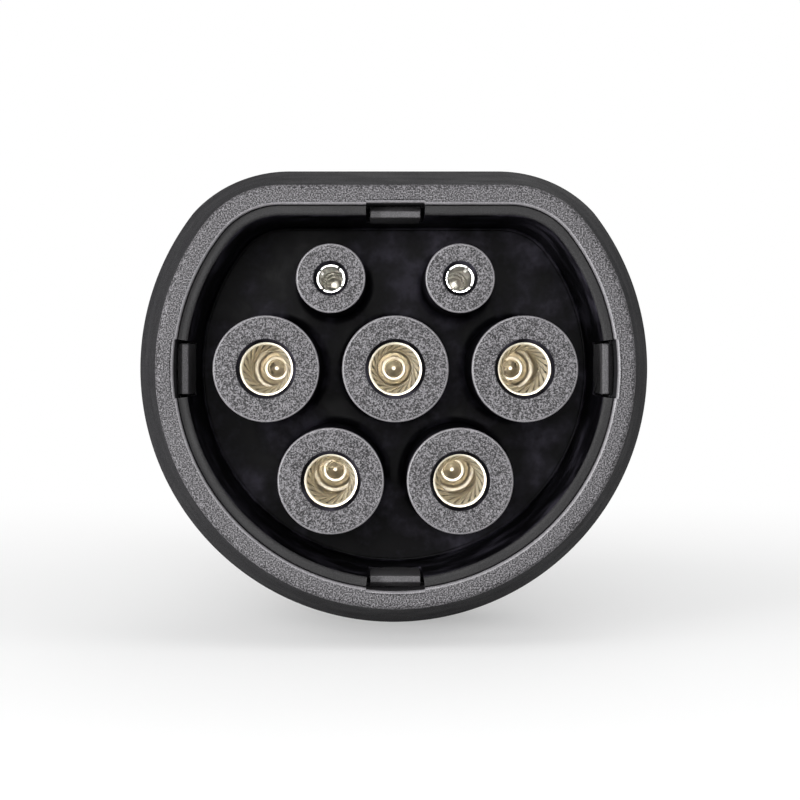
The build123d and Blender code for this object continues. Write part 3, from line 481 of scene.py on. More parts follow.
def turned_metal(name, base, roughness):
    """Plated turned metal: fine rings along the axis, and slight clouding of the plating."""
    material, tree = blank_material(name, base, roughness, metallic=1.0)
    rings = noise(tree, 5200.0, detail=2.0, stretch=(0.0, 1.0, 0.0))
    cloud = noise(tree, 700.0, detail=3.0)
    grade(tree, "Base Color", cloud, (0.3, tint(base, 0.9)), (0.7, tint(base, 1.05)))
    grade(tree, "Roughness", cloud, (0.3, roughness), (0.7, roughness + 0.12))
    bump(tree, rings, 0.00001, strength=0.12)
    return material


def dull_rubber(name, base):
    """Moulded rubber: dull, with a fine matt tooth and a little dust in the colour."""
    material, tree = blank_material(name, base, 0.7, specular=0.35)
    tooth = noise(tree, 3000.0, detail=4.0)
    dust = noise(tree, 90.0, detail=5.0, roughness=0.65)
    grade(tree, "Base Color", dust, (0.35, tint(base, 0.8)), (0.7, tint(base, 1.7)))
    grade(tree, "Roughness", dust, (0.3, 0.6), (0.7, 0.8))
    bump(tree, tooth, 0.00005, strength=0.5)
    return material


def lacquered(name, base, fleck):
    """Lacquered laminate or ceramic with a woven fleck under a glossy coat."""
    material, tree = blank_material(name, base, 0.3)
    weave = noise(tree, 1800.0, detail=2.0, stretch=(1.0, 1.0, 0.3))
    grade(tree, "Base Color", weave, (0.35, base), (0.65, fleck))
    bump(tree, weave, 0.00002, strength=0.3)
    tree.nodes["Principled BSDF"].inputs["Coat Weight"].default_value = 0.4
    return material


finish = {}


def make_finishes(colours):
    """Every finish once, by a maker's name."""
    if finish:
        return finish
    rim, flare, gland = colours.rim, colours.flare, colours.gland
    finish.update(
        grained=grained_plastic("grained_rim_plastic", rim, 1.45, specular=0.22),
        # The flare finish is the rim's grained plastic made darker: painted shade on the nose's outside.
        flare=grained_plastic("grained_flare_plastic", flare, 0.9, specular=0.02),
        # The edge finish is the rim's plastic at two and a half times its colour on eased edges: a painted
        # highlight along them.
        edge=grained_plastic("smooth_edge_plastic", tint(rim, 2.5), 0.3, roughness=0.4, specular=0.6),
        # The insert's lighter patches reach eleven times its colour: painted sheen, the blotchy reflections
        # in the cavity.
        insert=satin_plastic("satin_black_plastic", colours.insert, 0.42, specular=0.035, tone_and_sheen=11.0),
        hook=grained_plastic("hook_plastic", tint(rim, 0.9), 0.5),
        # The liner's front edge takes the rim's plastic at 0.17 of its colour: painted shade in the step
        # under the rim.
        liner_edge=grained_plastic("liner_edge_plastic", tint(rim, 0.17), 0.6, specular=0.25),
        contact=turned_metal("silver_plated_contact", colours.contact, 0.27),
        # The groove finish is the strips' gilt at 0.42 of its colour: painted shade on the groove wall, so
        # that the slots between the strips read dark.
        groove=turned_metal("cage_groove", tint(colours.lamella, 0.42), 0.5),
        lamella=turned_metal("gilt_lamella", colours.lamella, 0.5),
        pilot=turned_metal("bright_pilot_contact", colours.pilot, 0.28),
        steel=turned_metal("zinc_plated_steel", colours.steel, 0.3),
        rubber=dull_rubber("grip_rubber", colours.rubber),
        gland=satin_plastic("gland_plastic", gland, 0.42),
        handle=grained_plastic("handle_plastic", tint(flare, 1.1), 0.6, specular=0.1),
        retainer=satin_plastic("glass_filled_plastic", tint(gland, 2.4), 0.55),
        board=lacquered("board_laminate", (0.02, 0.13, 0.05), (0.04, 0.2, 0.08)),
        resistor=lacquered("resistor_ceramic", (0.5, 0.38, 0.24), (0.6, 0.48, 0.32)),
    )
    return finish


# ------------------------------------------------------------------ nose
def carried(profile, core, normal, reach_offset=0.0, depth=None):
    """A profile of (reach, depth) rows carried round the D: point = core + reach * normal."""
    reach = profile[:, :1] + reach_offset
    x = core[:, 0] + reach * normal[:, 0]
    z = core[:, 1] + reach * normal[:, 1]
    y = profile[:, 1:] + 0 * x if depth is None else depth
    return np.stack([x, y, z], axis=-1)


def build_shroud(nose):
    """The nose shroud: one closed profile, rim, flare, skirt, hollow and tube, carried round the D. Rows on
    the rim's inner wall step outwards by the pocket's depth where a hook stands."""
    core, normal, _, angle = outline(nose)
    tube = nose.rim_inner + nose.shroud_wall
    skirt = nose.belly - nose.shroud_wall
    slant = (nose.belly - nose.rim_outer) * nose.hollow_front / nose.flare_end
    corners = [
        (nose.rim_outer, 0.0, 0.75),
        (nose.belly, nose.flare_end, 3.0),
        (nose.belly, nose_length, 0.35),
        (skirt, nose_length, 0.2),
        (skirt, nose.flare_end, 0.5),
        (nose.rim_outer + slant - nose.shroud_wall, nose.hollow_front, 0.1),
        (tube, nose.hollow_front, 0.1),
        (tube, nose.floor_back, 0.2),
        (nose.rim_inner, nose.floor_back, 0.2),
        (nose.rim_inner, nose.pocket_length + 0.05 * MM, 0.0),
        (nose.rim_inner, nose.pocket_length, 0.0),
        (nose.rim_inner, 0.0, 0.45),
    ]
    profile = softened(corners, closed=True)
    inner = (profile[:, 0] < nose.rim_inner + 0.5 * MM) & (profile[:, 1] <= nose.pocket_length)
    hook = at_hook(core + nose.rim_inner * normal, nose)
    points = carried(profile, core, normal, reach_offset=nose.pocket_depth * inner[:, None] * hook)
    grown = np.clip((profile[:, :1] - skirt) / nose.shroud_wall, 0, 1)
    points[..., 2] -= nose.belly_drop * grown * flat_share(nose, angle)
    return patch(points, loop_rows=True)


def circle(place, radius, count):
    """A ring of points on the XZ plane, starting on +X, as turned() places its columns."""
    angle = np.linspace(0, 2 * np.pi, count, endpoint=False)
    return np.stack([place[0] + radius * np.cos(angle), place[1] + radius * np.sin(angle)], axis=1)


def socket_place(name):
    """Where a socket's axis crosses the XZ plane."""
    return mounts[name]["pos_m"][0], mounts[name]["pos_m"][2]


def sleeve_profile(nose, radius, lip, contact_radius, collar_radius):
    """A sleeve's profile from the foot of its root fillet, over its rim and lip, to its collar's seat."""
    bore, collar = contact_radius + nose.contact_fit, collar_radius + nose.contact_fit
    lip_back = nose.sleeve_front + nose.lip_length
    seat = nose.floor_back - nose.collar_seat
    corners = [
        (radius + nose.sleeve_fillet, nose.floor_front, 0.0),
        (radius, nose.floor_front, nose.sleeve_fillet / MM),
        (radius, nose.sleeve_front, 0.3),
        (lip + nose.mouth_flare, nose.sleeve_front, 0.12),
        (lip, nose.sleeve_front + nose.mouth_flare, 0.15),
        (lip, lip_back, 0.05),
        (bore, lip_back, 0.0),
        (bore, seat, 0.0),
        (collar, seat, 0.0),
        (collar, nose.floor_back, 0.0),
    ]
    profile = softened(corners, steps=8)
    keep = (profile[:, 0] <= radius + nose.sleeve_fillet + 1e-9) & (profile[:, 1] <= nose.floor_back + 1e-9)
    return profile[keep]


def build_insert(nose, contact):
    """The insert: liner and flange carried round the D, seven turned sleeves, and the floor's two flat webs
    between them. Where a hook stands, the liner's front edge drops back to the slot's root."""
    core, normal, _, _ = outline(nose)
    corners = [
        (nose.liner_inner - nose.floor_fillet, nose.floor_front, 0.0),
        (nose.liner_inner, nose.floor_front, nose.floor_fillet / MM),
        (nose.liner_inner, nose.liner_front, 0.55),
        (nose.liner_outer, nose.liner_front, 0.12),
        (nose.liner_outer, nose.floor_back, 0.0),
        (nose.flange, nose.floor_back, 0.2),
        (nose.flange, nose.flange_back, 0.2),
        (nose.well, nose.flange_back, 0.2),
        (nose.well, nose.floor_back, 0.0),
    ]
    profile = softened(corners, steps=8)
    hook = at_hook(core + nose.liner_outer * normal, nose)
    depth = np.where(hook, np.maximum(profile[:, 1:], nose.slot_root), profile[:, 1:])
    body = carried(profile, core, normal, depth=depth)
    power = sleeve_profile(
        nose, nose.power_sleeve, contact.power_lip, contact.power_radius, contact.power_collar
    )
    pilot = sleeve_profile(
        nose, nose.pilot_sleeve, contact.pilot_lip, contact.pilot_radius, contact.pilot_collar
    )
    patches, front_holes, back_holes = [patch(body)], [], []
    for names, profile, count in ((power_names, power, 128), (pilot_names, pilot, 96)):
        for place in map(socket_place, names):
            patches.append(patch(turned(profile, count, place)))
            front_holes.append(circle(place, profile[0, 0], count))
            back_holes.append(circle(place, profile[-1, 0], count))
    patches.append(web(body[0][:, [0, 2]], front_holes, nose.floor_front))
    patches.append(web(body[-1][:, [0, 2]], back_holes, nose.floor_back))
    return patches


def build_hooks(nose):
    """Four snap hooks: a profile of (reach, depth) with a ramped nib, set across each main direction. At
    each side it shrinks about its middle, first by the edge's easing and then to a closing point."""
    low = nose.liner_inner - 0.05 * MM
    high = low + nose.hook_thickness
    nib = nose.rim_inner + nose.pocket_depth - 0.05 * MM
    root = nose.slot_root + nose.hook_sink
    corners = [
        (low, nose.hook_front, 0.18),
        (high, nose.hook_front, 0.12),
        (nib, nose.nib_front, 0.1),
        (nib, nose.nib_back, 0.08),
        (high, nose.nib_back, 0.1),
        (high, root, 0.0),
        (low, root, 0.0),
    ]
    profile = softened(corners, steps=4, closed=True)
    away = profile - profile.mean(axis=0)
    ease = 0.12 * MM / np.linalg.norm(away, axis=1, keepdims=True)
    closed, full = np.ones_like(ease), np.zeros_like(ease)
    eased = profile - np.stack([closed, ease, full, full, ease, closed]) * away
    half = nose.pocket_half - nose.hook_gap
    flat = half - 0.1 * MM
    across = np.array([-half, -half, -flat, flat, half, half])[:, None]
    span = np.hypot(nose.corner_x, nose.corner_z)
    patches = []
    for turn, base in ((0, span), (90, nose.corner_z), (180, span), (270, span)):
        cos, sin = np.cos(np.radians(turn)), np.sin(np.radians(turn))
        outward = base + eased[..., 0]
        x, z = outward * cos - across * sin, outward * sin + across * cos
        patches.append(patch(np.stack([x, eased[..., 1], z], axis=-1)))
    return patches


# ------------------------------------------------------------------ contacts
# The stepped bottom of a power contact's bore: (radius, depth behind the bottom, ease) in millimetres.
drill_steps = [
    (0.0, 1.95, 0.0),
    (0.28, 1.93, 0.08),
    (1.1, 1.5, 0.1),
    (1.2, 1.0, 0.08),
    (1.65, 0.95, 0.1),
    (2.2, 0.2, 0.3),
]


def build_power_contact(contact, nose, place):
    """A turned power contact: groove for the cage, bore, stepped bottom with a drill's point, collar, barrel
    and crimp bore, as one closed profile about its axis."""
    front = nose.sleeve_front + nose.lip_length + contact.end_gap
    groove, groove_end = contact.cage_outer + contact.cage_fit, front + contact.groove_length
    corners = [(radius * MM, contact.power_bottom + depth * MM, ease) for radius, depth, ease in drill_steps]
    corners += [
        (contact.power_bore, contact.power_bottom, 0.3),
        (contact.power_bore, groove_end, 0.1),
        (groove, groove_end, 0.1),
        (groove, front, 0.1),
        (contact.power_radius, front, 0.15),
        (contact.power_radius, contact.collar_front, 0.1),
        (contact.power_collar, contact.collar_front, 0.2),
        (contact.power_collar, contact.collar_back, 0.2),
        (contact.power_barrel, contact.collar_back, 0.2),
        (contact.power_barrel, contact.power_tail, 0.2),
        (contact.power_crimp, contact.power_tail, 0.2),
        (contact.power_crimp, contact.power_crimp_end, 0.1),
        (0.0, contact.power_crimp_end, 0.0),
    ]
    profile = softened(corners, steps=5)
    profile[:, 0] = np.maximum(profile[:, 0], 0)
    return patch(turned(profile, 112, place))


def build_cage(contact, nose, place):
    """A lamella cage: two rounded rings, and strips on a twisted ruling. Strip k's middle line runs straight
    from angle a-h on the front ring to a+h on the back ring, so its radius falls to the waist halfway, and
    its cross-section turns with it to stay square to the axis' outward direction."""
    front = nose.sleeve_front + nose.lip_length + contact.cage_gap
    ring, total = contact.ring_length, contact.cage_length
    inner, outer = contact.cage_inner, contact.cage_outer
    patches = []
    for start in (front, front + total - ring):
        end = start + ring
        corners = [(inner, start, 0.3), (outer, start, 0.08), (outer, end, 0.08), (inner, end, 0.1)]
        patches.append(patch(turned(softened(corners, closed=True), 96, place), loop_rows=True))
    middle = (outer + inner) / 2
    half = np.arccos(contact.cage_waist / middle)
    s = np.linspace(-1, 1, 17)
    angle = 2 * np.pi * np.arange(contact.strips) / contact.strips
    first, last = angle - half, angle + half
    ends = [np.stack([middle * np.cos(a), 0 * a, middle * np.sin(a)], axis=1) for a in (first, last)]
    reach = total / 2 - 0.5 * ring
    line = (1 - s)[None, :, None] / 2 * ends[0][:, None] + (1 + s)[None, :, None] / 2 * ends[1][:, None]
    line[..., 1] = front + total / 2 + s * reach
    along = unit(ends[1] - ends[0] + np.array([0.0, 2 * reach, 0.0]))
    outward = unit(line * np.array([1.0, 0.0, 1.0]))
    across = unit(np.cross(along[:, None], outward))
    quarter = np.array([(0.8, -1.0), (1.0, -0.4), (1.0, 0.4), (0.8, 1.0)])
    section = np.concatenate([quarter, -quarter]) * [contact.strip_width / 2, contact.strip_thickness / 2]
    wide, thick = section.T[:, None, None, :, None]
    points = line[:, :, None] + across[:, :, None] * wide + outward[:, :, None] * thick
    caps = line[:, [0, -1], None] + 0 * points[:, [0, -1]]
    points = np.concatenate([caps[:, :1], points, caps[:, 1:]], axis=1)
    points = points + np.array([place[0], 0.0, place[1]])
    patches.extend(patch(strip) for strip in points)
    return patches


def build_pilot_contact(contact, nose, place):
    """A turned pilot contact: bore with two steps and a drill's point, collar, barrel and crimp bore. Its
    front stretch is slit, so that part is four separate closed sectors, with a neck for the ring spring and
    a mouth that pinches a little."""
    front = nose.sleeve_front + nose.lip_length + contact.end_gap
    bore, outer, slit_end = contact.pilot_bore, contact.pilot_radius, contact.pilot_slit_end
    bottom = contact.pilot_bottom
    corners = [
        (0.0, bottom + 2.7 * MM, 0.0),
        (contact.pilot_point, bottom + 1.9 * MM, 0.15),
        (contact.pilot_point, bottom + 0.2 * MM, 0.1),
        (contact.pilot_step, bottom, 0.08),
        (contact.pilot_step, bottom - 3.2 * MM, 0.1),
        (bore, bottom - 3.5 * MM, 0.1),
        (bore, slit_end, 0.0),
        (outer, slit_end, 0.0),
        (outer, contact.collar_front, 0.1),
        (contact.pilot_collar, contact.collar_front, 0.15),
        (contact.pilot_collar, contact.collar_back, 0.15),
        (contact.pilot_barrel, contact.collar_back, 0.1),
        (contact.pilot_barrel, contact.pilot_tail, 0.15),
        (contact.pilot_crimp, contact.pilot_tail, 0.1),
        (contact.pilot_crimp, contact.pilot_crimp_end, 0.1),
        (0.0, contact.pilot_crimp_end, 0.0),
    ]
    profile = softened(corners, steps=4)
    profile[:, 0] = np.maximum(profile[:, 0], 0)
    patches = [patch(turned(profile, 72, place))]
    neck_front, neck_back = front + 1.2 * MM, front + 5.2 * MM
    neck, finger_end = outer - 0.25 * MM, slit_end + 0.1 * MM
    finger = [
        (bore, finger_end, 0.0),
        (bore, front + 0.6 * MM, 0.25),
        (bore - 0.06 * MM, front, 0.1),
        (outer, front, 0.12),
        (outer, neck_front, 0.05),
        (neck, neck_front, 0.05),
        (neck, neck_back, 0.05),
        (outer, neck_back, 0.05),
        (outer, finger_end, 0.0),
    ]
    profile = softened(finger, steps=4, closed=True)
    half_gap = np.arcsin(contact.pilot_slit / 2 / profile[:, :1])
    sweep = np.linspace(-1, 1, 21) * (np.pi / 4 - half_gap)
    first_middle = 8
    for quarter in range(4):
        angle = np.radians(first_middle + 90 * quarter) + sweep
        x, z = profile[:, :1] * np.cos(angle), profile[:, :1] * np.sin(angle)
        points = np.stack([x + place[0], profile[:, 1:] + 0 * x, z + place[1]], axis=-1)
        points = points.transpose(1, 0, 2)
        centre = points[[0, -1]].mean(axis=1, keepdims=True) + 0 * points[[0, -1]]
        patches.append(patch(np.concatenate([centre[:1], points, centre[1:]], axis=0)))
    return patches


# ------------------------------------------------------------------ handle
def along_handle(points):
    """Points given as (x, distance, up) along the drooping axis, placed behind the nose."""
    axes = np.stack([[1.0, 0.0, 0.0], handle_axis, handle_up])
    return np.array([0.0, nose_length, 0.0]) + points @ axes


def swell_radius(handle, distance):
    """Radius of the round part of the handle: a parabola through neck, swell and wrist, then a taper."""
    knots = np.array([handle.neck_distance, handle.swell_distance, handle.wrist_distance])
    radii = np.array([handle.neck, handle.swell, handle.wrist])
    curve = np.polyval(np.polyfit(knots / MM, radii / MM, 2), distance / MM) * MM
    taper = np.interp(distance, [handle.wrist_distance, handle.tail_distance], [handle.wrist, handle.tail])
    return np.where(distance > handle.wrist_distance, taper, curve)


def handle_outline(nose, handle, distance, inset):
    """Cross-sections of the handle: the D of the nose, shrinking, blends into a circle at the neck. Between
    the key sections each point follows a cubic Hermite curve along the handle."""
    core, normal, round_normal, angle = outline(nose)
    keys = [handle.shoulder_distance, handle.waist_distance, handle.neck_distance, handle.swell_distance]
    keys = np.array([0, *keys])
    shares = [1.0, 1 - 0.6 * MM / nose.corner_x, 0.45]
    reaches = [nose.belly, handle.shoulder, handle.waist]
    sections = [share * core + reach * normal for share, reach in zip(shares, reaches)]
    sections += [handle.neck * round_normal, handle.swell * round_normal]
    sections = np.array(sections)
    sections[:2, :, 1] -= nose.belly_drop * flat_share(nose, angle)
    slopes = np.gradient(sections, keys, axis=0)
    slopes[0] = 0.0
    slopes[-1] = 0.0
    slopes[-2] = (sections[-1] - sections[-2]) / (keys[-1] - keys[-2])
    index = np.clip(np.searchsorted(keys, distance, side="right") - 1, 0, len(keys) - 2)
    step = (keys[index + 1] - keys[index])[:, None, None]
    t = ((distance - keys[index])[:, None, None] / step).clip(0, 1)
    curve = (
        (2 * t**3 - 3 * t**2 + 1) * sections[index]
        + (t**3 - 2 * t**2 + t) * step * slopes[index]
        + (3 * t**2 - 2 * t**3) * sections[index + 1]
        + (t**3 - t**2) * step * slopes[index + 1]
    )
    round_part = (distance >= handle.neck_distance)[:, None, None]
    turned_part = swell_radius(handle, distance)[:, None, None] * round_normal[None]
    blend = np.clip((distance / handle.neck_distance), 0, 1)[:, None, None]
    outward = unit(normal * (1 - blend) + round_normal * blend)
    return np.where(round_part, turned_part, curve) - inset[..., None] * outward


def build_half(nose, handle, upper):
    """One half of the handle's shell. Each cross-section is a closed loop, out along the outside from seam
    to seam and back along the inside, and the end rows close on the wall's middle."""
    _, _, _, angle = outline(nose)
    top = (angle >= -1e-6) | (angle <= -np.pi + 1e-6)
    bottom = (angle <= 1e-6) & (angle >= -np.pi - 1e-6)
    order = np.flatnonzero(top if upper else bottom)
    if upper:
        order = np.roll(order, -np.flatnonzero(np.diff(order) > 1)[0] - 1)
    first, last = 0.6 * MM, handle.tail_distance - 0.5 * MM
    wall_front = handle.tail_distance - handle.tail_wall
    rows = [
        np.linspace(first, handle.neck_distance, 60),
        np.linspace(handle.neck_distance, last, 70),
        np.array([0.0, 0.2]) * MM,
        handle.grip_start + np.array([-0.05, 0.0, 0.02]) * MM,
        handle.grip_end + np.array([-0.02, 0.0, 0.05]) * MM,
        wall_front + np.array([0.0, 0.02]) * MM,
        handle.tail_distance - np.array([0.2, 0.0]) * MM,
    ]
    rows = np.unique(np.concatenate(rows))
    seam = np.minimum(np.abs(angle), np.abs(angle + np.pi))
    groove = handle.seam_depth * np.interp(np.degrees(seam), [0.0, 0.36, 0.76, 1.11], [1.0, 0.9, 0.15, 0.0])
    ends = np.interp(rows, [0, first, last, handle.tail_distance], [0.35, 0, 0, 0.4]) * MM
    under_grip = (rows >= handle.grip_start) & (rows <= handle.grip_end)
    recess = np.where(under_grip, handle.grip_thickness + 0.1 * MM, 0.0)
    outer_inset = np.maximum(groove[None], (ends + recess)[:, None])
    to_hole = swell_radius(handle, rows) - handle.gland_hole
    wall = np.where(rows > wall_front + 0.01 * MM, to_hole, handle.wall)
    inner_inset = wall[:, None] + 0 * groove[None]
    outside = handle_outline(nose, handle, rows, outer_inset)[:, order]
    inside = handle_outline(nose, handle, rows, inner_inset)[:, order][:, ::-1]
    loop = np.concatenate([outside, inside], axis=1)
    middle = (outside + inside[:, ::-1]) / 2
    cap = np.concatenate([middle, middle[:, ::-1]], axis=1)
    loop = np.concatenate([cap[:1], loop, cap[-1:]], axis=0)
    distance = np.concatenate([rows[:1], rows, rows[-1:]])[:, None]
    blend = np.clip(distance / handle.shoulder_distance, 0, 1)
    tilt = handle_tilt * (1 - blend * blend * (3 - 2 * blend))
    swung = [loop[..., 0], distance - loop[..., 1] * np.sin(tilt), loop[..., 1] * np.cos(tilt)]
    points = np.stack(swung, axis=-1)
    return patch(along_handle(points))


def cut_screw_wells(piece, handle):
    """Cuts a round well for each housing screw into the lower half, square to the joint of the halves."""
    below, top = -handle.swell, -handle.well_top
    profile = np.array([(0, top), (handle.well_radius, top), (handle.well_radius, below), (0, below)])
    sites = [(handle.front_screws, handle.front_spread), (handle.back_screws, handle.back_spread)]
    places = [(side * spread, distance) for distance, spread in sites for side in (-1, 1)]
    wells = [patch(along_handle(turned(profile, 64, place)[..., [0, 2, 1]])) for place in places]
    cutter = bpy.data.objects.new("well_cutter", joined_mesh("well_cutter", wells))
    bpy.context.scene.collection.objects.link(cutter)
    cut = piece.modifiers.new("screw_wells", "BOOLEAN")
    cut.operation = "DIFFERENCE"
    cut.solver = "EXACT"
    cut.object = cutter
    carved = bpy.data.meshes.new_from_object(piece.evaluated_get(bpy.context.evaluated_depsgraph_get()))
    piece.modifiers.clear()
    piece.data = carved
    carved.set_sharp_from_angle(angle=sharp_angle)
    bpy.data.objects.remove(cutter)


def build_grip(handle):
    """The rubber grip: one closed profile with a row of grooves, turned about the handle's axis."""
    count = int((handle.grip_end - handle.grip_start) / handle.groove_pitch) - 1
    first = (handle.grip_start + handle.grip_end - (count - 1) * handle.groove_pitch) / 2
    centres = first + handle.groove_pitch * np.arange(count)
    half = handle.groove_width / 2
    offsets = np.array([-half, -half + 0.25 * MM, half - 0.25 * MM, half])
    grooves = (centres[:, None] + offsets).ravel()
    depth = np.tile([0.0, handle.groove_depth, handle.groove_depth, 0.0], count)
    lead, trail = handle.grip_start + 0.1 * MM, handle.grip_end - 0.1 * MM
    distance = np.concatenate([[lead], grooves, [trail], np.linspace(trail, lead, 9)])
    inset = np.concatenate([[0.0], depth, [0.0], np.full(9, handle.grip_thickness)])
    groove_ease = np.tile([0.28, 0.18, 0.18, 0.28], count)
    ease = np.concatenate([[0.4], groove_ease, [0.4, 0.1], np.zeros(7), [0.1]])
    corners = np.stack([swell_radius(handle, distance) - inset, distance, ease], axis=1)
    return patch(along_handle(turned(softened(corners, steps=5, closed=True), 180)), loop_rows=True)


def build_nut(handle):
    """The gland nut. Round the axis its outside is the hexagon h(a) = apothem / cos(a), eased into the
    turned-down ends by a soft minimum of the two radii, and its dome and inside are turned."""
    angle = np.linspace(0, 2 * np.pi, 360, endpoint=False)
    hexagon = handle.nut_apothem / np.cos(angle % (np.pi / 3) - np.pi / 6)
    front, edge, end, chamfer = handle.nut_front, handle.nut_edge, handle.nut_end, handle.nut_chamfer
    beyond = handle.nut_turned + chamfer * np.sqrt(3) + 1 * MM
    hex_corners = [
        (handle.nut_apothem - 1.6 * MM, front, 0.0),
        (handle.nut_turned, front, 0.2),
        (beyond, front + 1.5 * chamfer, 0.4),
        (beyond, edge - 1.5 * chamfer, 0.4),
        (handle.nut_turned, edge, 0.2),
    ]
    dome_corners = [
        (handle.nut_shoulder, edge, 0.5),
        (handle.nut_dome, end - handle.dome_lip, 1.2),
        (handle.nut_dome - handle.dome_lip, end, 0.9),
        (handle.mouth, end, 0.35),
        (handle.mouth, end - handle.mouth_length, 0.2),
        (handle.seal_bore, end - handle.mouth_length, 0.0),
        (handle.claw_cone, handle.claw_end, 0.0),
        (handle.nut_bore, edge, 0.0),
        (handle.nut_bore, front, 0.2),
    ]
    fill = np.linspace(front + 1.6 * chamfer, edge - 1.6 * chamfer, 8)
    flank = np.stack([np.full(8, beyond), fill], axis=1)
    hex_part = np.concatenate([softened(hex_corners, steps=5), flank])
    hex_part = hex_part[np.argsort(hex_part[:, 1], kind="stable")]
    dome_part = softened(dome_corners)
    power = 90.0
    soft = (hexagon**-power + hex_part[:, :1] ** -power) ** (-1 / power)
    radius = np.concatenate([soft, dome_part[:, :1] + 0 * angle])
    distance = np.concatenate([hex_part[:, 1:], dome_part[:, 1:]])
    points = np.stack([radius * np.cos(angle), distance + 0 * radius, radius * np.sin(angle)], axis=-1)
    return patch(along_handle(points), loop_rows=True)


# ------------------------------------------------------------------ operators
def face_places(piece):
    """Centres and normals of a piece's faces."""
    count = len(piece.data.polygons)
    centres, normals = np.empty(count * 3), np.empty(count * 3)
    piece.data.polygons.foreach_get("center", centres)
    piece.data.polygons.foreach_get("normal", normals)
    return centres.reshape(-1, 3), normals.reshape(-1, 3)


def settings(context):
    """The groups of lengths, and the finishes in the chosen colours."""
    nose, contact, handle, colours = [getattr(context.scene, name) for name in groups]
    return nose, contact, handle, make_finishes(colours)


def paint(piece, index):
    """Gives each face the finish of its index."""
    piece.data.polygons.foreach_set("material_index", index.astype(np.int32))


class CONNECTOR_OT_shroud(bpy.types.Operator):
    """Build the nose shroud"""

    bl_idname = "connector.shroud"
    bl_label = "Nose Shroud"

    def execute(self, context):
        nose, _, _, materials = settings(context)
        piece = make_piece(
            "nose_shroud",
            [build_shroud(nose)],
            "front_shroud",
            [materials["grained"], materials["flare"], materials["edge"]],
        )
        centres, normals = face_places(piece)
        inward = (normals[:, [0, 2]] * centres[:, [0, 2]]).sum(axis=1) < -0.004
        # Faces behind 0.55 mm take the darker flare finish, which is painted shade. The rim's inner wall
        # keeps the lighter rim finish to 2 mm, painted light over its shadowed strip.
        behind = centres[:, 1] > np.where(inward, 2.0, 0.55) * MM
        # The rim's eased inner edge takes the edge finish, whose lighter colour is a painted highlight.
        edge = inward & (centres[:, 1] < 0.5 * MM)
        paint(piece, np.where(edge, 2, behind))
        return {"FINISHED"}


class CONNECTOR_OT_insert(bpy.types.Operator):
    """Build the contact insert and its snap hooks"""

    bl_idname = "connector.insert"
    bl_label = "Contact Insert"

    def execute(self, context):
        nose, contact, _, materials = settings(context)
        piece = make_piece(
            "insert_moulding",
            build_insert(nose, contact),
            "contact_insert",
            [materials["insert"], materials["grained"], materials["liner_edge"], materials["edge"]],
        )
        centres, normals = face_places(piece)
        facing = normals[:, 1] < -0.6
        eased = (normals[:, 1] > -0.97) & (normals[:, 1] < -0.12)
        on_sleeve, on_painted_highlight_edge = np.zeros(len(centres), bool), np.zeros(len(centres), bool)
        for name in power_names + pilot_names:
            radius = nose.power_sleeve if name in power_names else nose.pilot_sleeve
            away = np.linalg.norm(centres[:, [0, 2]] - socket_place(name), axis=1)
            on_sleeve |= away < radius + 0.1 * MM
            on_painted_highlight_edge |= np.abs(away - radius) < 0.4 * MM
        # Eased faces round each sleeve's front take the edge finish, a painted highlight.
        on_painted_highlight_edge &= eased & (centres[:, 1] < nose.sleeve_front + 0.32 * MM)
        # The liner's front edge takes the darker copy of the rim's plastic, painted shade under the rim.
        on_painted_shade_liner = facing & ~on_sleeve & (centres[:, 1] < nose.liner_front + 0.5 * MM)
        on_sleeve &= facing & (centres[:, 1] < nose.sleeve_front + 0.09 * MM)
        # All other faces take the cavity's near-black finish: its own black, darkened further as painted
        # shade.
        paint(piece, np.select([on_painted_highlight_edge, on_sleeve, on_painted_shade_liner], [3, 1, 2], 0))
        make_piece("insert_hooks", build_hooks(nose), "contact_insert", [materials["hook"]])
        return {"FINISHED"}


class CONNECTOR_OT_contacts(bpy.types.Operator):
    """Build the power contacts, their lamella cages and the pilot contacts"""

    bl_idname = "connector.contacts"
    bl_label = "Contacts"

    def execute(self, context):
        nose, contact, _, materials = settings(context)
        for name in power_names:
            pole = name.removeprefix("socket_")
            place = socket_place(name)
            body = [build_power_contact(contact, nose, place)]
            finishes = [materials["contact"], materials["groove"]]
            piece = make_piece(f"power_contact_{pole}", body, name, finishes)
            centres, _ = face_places(piece)
            from_axis = np.linalg.norm(centres[:, [0, 2]] - place, axis=1)
            # The groove's wall under the cage takes the darker groove finish, painted shade behind the
            # strips.
            in_painted_shade_groove = centres[:, 1] < nose.sleeve_front + nose.lip_length + contact.groove_length + 0.6 * MM
            paint(piece, in_painted_shade_groove & (np.abs(from_axis - contact.cage_outer) < 0.06 * MM))
            cage = build_cage(contact, nose, place)
            node = f"lamella_cage_{pole}"
            make_piece(f"spring_cage_{pole}", cage, node, [materials["lamella"]])
        for name in pilot_names:
            body = build_pilot_contact(contact, nose, socket_place(name))
            label = name.replace("socket_", "contact_")
            make_piece(label, body, name, [materials["pilot"]])
        return {"FINISHED"}


class CONNECTOR_OT_handle(bpy.types.Operator):
    """Build the handle's two halves"""

    bl_idname = "connector.handle"
    bl_label = "Handle Halves"

    def execute(self, context):
        nose, _, handle, materials = settings(context)
        for upper, name in ((True, "upper"), (False, "lower")):
            shell = [build_half(nose, handle, upper)]
            node = f"housing_{name}"
            half = make_piece(f"handle_{name}", shell, node, [materials["handle"]])
            if not upper:
                cut_screw_wells(half, handle)
        return {"FINISHED"}


